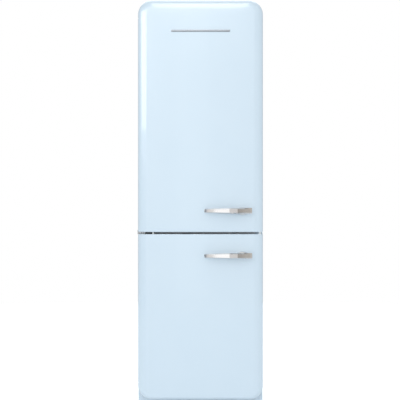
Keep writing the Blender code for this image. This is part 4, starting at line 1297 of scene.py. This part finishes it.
@dataclass
class MiddleHinge:
    """What shows of the hinge in the gap between the doors: knuckle, cover and end cap."""

    layout: Layout
    split: float = -0.2640
    half_height: float = 0.0045

    def build(self, door: Door) -> None:
        """Turn the knuckle, mould the cover and the end cap.

        Args:
            door: The door whose face the pieces stay behind.
        """
        low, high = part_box("middle_hinge_cover")
        z = self.layout.gap_height
        bottom, top = z - self.half_height, z + self.half_height
        shape = Solid()
        rear = self.layout.back(-0.0503)
        for start, end in ((low.x, low.x + 0.010), (low.x + 0.0112, low.x + 0.0212),
                           (low.x + 0.0224, self.split)):
            face = self.front(door, start, end)
            shape.rounded((start, face, bottom), (end, rear, top), 0.0016, 3)
        shape.dress("hinge_knuckle", Look.PLATED, "cabinet", ["middle_hinge_cover"])
        shape = Solid()
        shape.rounded((self.split + 0.0006, self.front(door, self.split, high.x - 0.001), bottom),
                       (high.x - 0.0010, rear, top), 0.0018, 3)
        shape.dress("hinge_cover", Look.ABS_BLACK, "cabinet")
        shape = Solid()
        lug_low = self.layout.back(-0.0790)
        shape.rounded((high.x - 0.0002, lug_low, bottom - 0.0003), (high.x + 0.0058, rear, top + 0.0003),
                      0.0010, 2)
        shape.dress("hinge_end_cap", Look.NYLON, "cabinet")

    def front(self, door: Door, start: float, end: float) -> float:
        """World Y of the front of a piece between two x places, 3 mm behind the face."""
        return max(door.face_y(start), door.face_y(end)) + 0.003


@dataclass
class Badge:
    """A plain satin bar that follows the upper door's face."""

    door: Door
    slices: int = 28
    edge: float = 0.0012

    def build(self) -> None:
        """Bend the bar to the face, and round its edges."""
        low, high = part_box("badge")
        shape = Solid()
        shape.box(low, high)
        for step in range(1, self.slices):
            shape.slice(X, low.x + (high.x - low.x) * step / self.slices)
        ends = shape.edges(lambda e: span(e, Y) > 1e-5
                           and abs(abs(e.verts[0].co.x) - high.x) < 1e-5)
        middle = (low.y + high.y) / 2
        fronts = {vert: vert.co.y < middle for vert in shape.bm.verts}
        for vert, front in fronts.items():
            vert.co.y = self.door.face_y(vert.co.x) - (0.0028 if front else 0.0)
        shape.bevel(ends, 0.0035, 4)
        shape.bm.normal_update()
        front_rim = shape.edges(lambda e: len(e.link_faces) == 2
                                and sum(f.normal.y < -0.9 for f in e.link_faces) == 1)
        shape.bevel(front_rim, self.edge, 3)
        shape.dress("badge_bar", Look.SATIN, "upper_door", ["badge"])


# --- CAD nodes that stay ---------------------------------------------------------------------

KEPT: dict[Look, tuple[str, ...]] = {
    Look.FOAM: ("foam_body", "upper_door_foam", "lower_door_foam"),
    Look.LINER: ("cross_rail", "fridge_liner", "freezer_liner", "freezer_duct_cover", "fridge_duct",
                 "upper_door_liner",
                 "lower_door_liner"),
    Look.ABS_WHITE: ("control_panel", "door_switch"),
    Look.CRYSTAL: ("lamp_cover", "crisper_drawer", "chill_drawer", "freezer_drawer_1", "freezer_drawer_2",
                   "freezer_drawer_3", "door_bin_top", "door_bin_middle", "door_bin_bottle", "dairy_lid"),
    Look.GLASS: ("shelf_glass_1", "shelf_glass_2", "crisper_cover", "freezer_shelf_1", "freezer_shelf_2"),
    Look.CHROME: ("badge", "bottle_rack", "shelf_trim_1", "shelf_trim_2"),
    Look.PLATED: ("top_hinge", "middle_hinge", "bottom_hinge", "power_button", "temp_button"),
    Look.GALVANISED: ("rear_panel", "base_pan"),
    Look.ALUMINIUM: ("evaporator",),
    Look.STOVED: ("compressor", "condenser_tube"),
    Look.ABS_BLACK: ("relay_box", "drip_tray", "fan_motor", "fan_rotor", "mains_inlet", "middle_hinge_cover"),
    Look.RUBBER: ("front_foot_left", "front_foot_right", "rear_roller_left", "rear_roller_right"),
    Look.SEAL: ("upper_door_gasket", "lower_door_gasket"),
}


def dress_nodes(nodes: dict[str, bpy.types.Object]) -> None:
    """Give every CAD node that stays its material.

    Args:
        nodes: The CAD nodes by name.
    """
    for look, names in KEPT.items():
        for name in names:
            nodes[name].data.materials.clear()
            nodes[name].data.materials.append(dressed(look))
            LOG.info("%s keeps its shape, in %s", name, look.value.name)


# --- studio ----------------------------------------------------------------------------------


@dataclass
class Studio:
    """Pale floor, white backdrop light, soft boxes and the camera."""

    eye_height: float = 1.0048
    distance: float = 6.0
    view_width: float = 1.929
    sensor: float = 36.0
    aside: float = -0.0024
    bands: tuple[tuple[float, str], ...] = (
        (-179.0, "#9a9ea2"), (-90.0, "#a0a6ac"), (-32.0, "#a9b2ba"), (-20.0, "#eae4e2"),
        (-9.0, "#fffdfb"), (16.0, "#fbf8f6"), (18.0, "#b2aca8"), (26.0, "#c6c0b9"), (38.0, "#dcd8d1"),
        (70.0, "#d4d1cc"), (100.0, "#b0b0b0"), (179.0, "#9a9ea2"))

    def camera(self, layout: Layout) -> None:
        """Stand the camera straight in front, far enough for a nearly parallel view."""
        data = bpy.data.cameras.new("camera")
        data.sensor_width = self.sensor
        data.lens = self.sensor * self.distance / self.view_width
        camera = bpy.data.objects.new("camera", data)
        camera.location = (self.aside, layout.back(-0.030) - self.distance, self.eye_height)
        camera.rotation_euler = (math.pi / 2, 0.0, 0.0)
        bpy.context.scene.collection.objects.link(camera)
        bpy.context.scene.camera = camera

    def soft_box(self, name: str, centre: Point, target: Point, size: tuple[float, float], radiance: float,
                 shines: str = "everywhere") -> None:
        """Hang a rectangular soft box that faces a target.

        Args:
            name: The light's name.
            centre: Where it hangs.
            target: The point it faces.
            size: Its width and height.
            radiance: How bright its face is, where white paper in full light is about 1.
            shines: "everywhere", or "glint" for highlights alone, or "shade" for soft light alone.
        """
        data = bpy.data.lights.new(name, "AREA")
        data.shape = "RECTANGLE"
        data.size, data.size_y = size
        data.energy = radiance * math.pi * size[0] * size[1]
        light = bpy.data.objects.new(name, data)
        light.location = centre
        light.rotation_euler = (Vector(target) - Vector(centre)).to_track_quat("-Z", "Y").to_euler()
        light.visible_camera = False
        light.visible_diffuse = shines != "glint"
        light.visible_glossy = shines != "shade"
        bpy.context.scene.collection.objects.link(light)

    def lights(self) -> None:
        """Hang the soft boxes: two for the long highlights, a broad front one and a soft key."""
        self.soft_box("left_box", (-1.63, -1.46, 2.02), (-0.27, -0.30, 1.60), (2.27, 1.15), 4.6, "glint")
        self.soft_box("top_box", (0.0, -1.60, 3.05), (0.0, -0.30, 1.90), (0.98, 2.0), 4.2, "glint")
        self.soft_box("rear_box", (0.0, 1.28, 3.52), (0.0, -0.28, 1.96), (2.6, 2.24), 1.7, "glint")
        self.soft_box("front_box", (-1.2, -7.6, 1.9), (0.0, -0.30, 1.0), (5.0, 3.6), 1.05, "shade")
        self.soft_box("front_card", (-0.22, -7.4, 1.5), (0.0, -0.30, 1.0), (0.9, 3.0), 0.50, "glint")
        self.soft_box("key", (-2.4, -4.2, 3.6), (0.0, -0.30, 1.2), (1.0, 1.0), 4.0, "shade")

    def world(self) -> None:
        """Light the room: white to the eye, even for soft light, and in grey bands for reflections."""
        world = bpy.data.worlds.new("studio")
        world.use_nodes = True
        tree = world.node_tree
        tree.nodes.clear()
        place = add_node(tree, "ShaderNodeTexCoord")
        axes = add_node(tree, "ShaderNodeSeparateXYZ", links={"Vector": place.outputs["Generated"]})
        ahead = add_node(tree, "ShaderNodeMath", {"operation": "MULTIPLY"}, {1: -1.0}, {0: axes.outputs["Y"]})
        angle = add_node(tree, "ShaderNodeMath", {"operation": "ARCTAN2"}, links={0: axes.outputs["X"],
                                                                                   1: ahead.outputs[0]})
        turn = add_node(tree, "ShaderNodeMapRange", values={"From Min": -math.pi, "From Max": math.pi},
                        links={"Value": angle.outputs[0]})
        bands = add_node(tree, "ShaderNodeValToRGB", links={"Fac": turn.outputs["Result"]})
        ramp = bands.color_ramp
        for degrees, colour in self.bands:
            stop = ramp.elements.new((degrees + 180) / 360)
            stop.color = linear(colour)
        ramp.elements.remove(ramp.elements[0])
        ramp.elements.remove(ramp.elements[-1])
        even = add_node(tree, "ShaderNodeBackground", values={"Color": linear("#f0f5f8"), "Strength": 1.03})
        banded = add_node(tree, "ShaderNodeBackground", values={"Strength": 1.0},
                          links={"Color": bands.outputs["Color"]})
        white = add_node(tree, "ShaderNodeBackground", values={"Color": (1.0, 1.0, 1.0, 1.0),
                                                               "Strength": 1.0})
        path = add_node(tree, "ShaderNodeLightPath")
        soft = add_node(tree, "ShaderNodeMixShader", links={0: path.outputs["Is Glossy Ray"],
                                                            1: even.outputs[0],
                                                            2: banded.outputs[0]})
        mix = add_node(tree, "ShaderNodeMixShader", links={0: path.outputs["Is Camera Ray"],
                                                           1: soft.outputs[0],
                                                           2: white.outputs[0]})
        add_node(tree, "ShaderNodeOutputWorld", links={"Surface": mix.outputs[0]})
        bpy.context.scene.world = world

    def floor(self, name: str, colour: str, glow: float, to_eye: bool) -> None:
        """Lay a pale seamless floor.

        Args:
            name: The floor's name.
            colour: Its colour.
            glow: How much light it gives off by itself.
            to_eye: Whether only the camera sees it, or only the light that bounces.
        """
        shape = Solid()
        bmesh.ops.create_circle(shape.bm, cap_ends=True, segments=96, radius=6.0)
        mesh = shape.mesh(name)
        material = bpy.data.materials.new(name)
        material.use_nodes = True
        shader = material.node_tree.nodes["Principled BSDF"]
        shader.inputs["Base Color"].default_value = linear(colour)
        shader.inputs["Roughness"].default_value = 0.7
        shader.inputs["Emission Color"].default_value = (1.0, 1.0, 1.0, 1.0)
        shader.inputs["Emission Strength"].default_value = glow
        mesh.materials.append(material)
        floor = bpy.data.objects.new(name, mesh)
        floor.location = (0.0, 0.0, -0.0005)
        floor.visible_camera = to_eye
        floor.visible_diffuse = floor.visible_glossy = floor.visible_transmission = not to_eye
        floor.visible_shadow = not to_eye
        bpy.context.scene.collection.objects.link(floor)

    def build(self, layout: Layout) -> None:
        """Set up the studio."""
        self.camera(layout)
        self.lights()
        self.world()
        self.floor("floor", "#ececec", 0.50, True)
        self.floor("floor_bounce", "#e4e8ec", 0.12, False)
        bpy.context.scene.view_settings.view_transform = "Standard"


def main() -> None:
    """Load the frame, build every sub-assembly and set up the studio."""
    logging.basicConfig(level=logging.INFO, format="%(name)s: %(message)s")
    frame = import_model()
    layout = Layout.from_frame(frame)
    Studio().build(layout)
    dress_nodes(frame["nodes"])
    Cabinet(layout).build()
    Cooling(layout).build()
    Shelves().build()
    Controls().build()
    for node in ("crisper_drawer", "chill_drawer", "freezer_drawer_1", "freezer_drawer_2",
                 "freezer_drawer_3"):
        Drawer(node).build()
    for node in ("door_bin_top", "door_bin_middle", "door_bin_bottle"):
        DoorBin(node).build()
    doors = (
        Door(layout, "upper", far_roll=0.045, corner=0.072, hinge_z=1.880),
        Door(layout, "lower", far_roll=0.022, corner=0.068, hinge_z=0.125),
    )
    for door in doors:
        door.build()
        Handle(door).build()
    Badge(doors[0]).build()
    MiddleHinge(layout).build(doors[0])


if __name__ == "__main__":
    main()
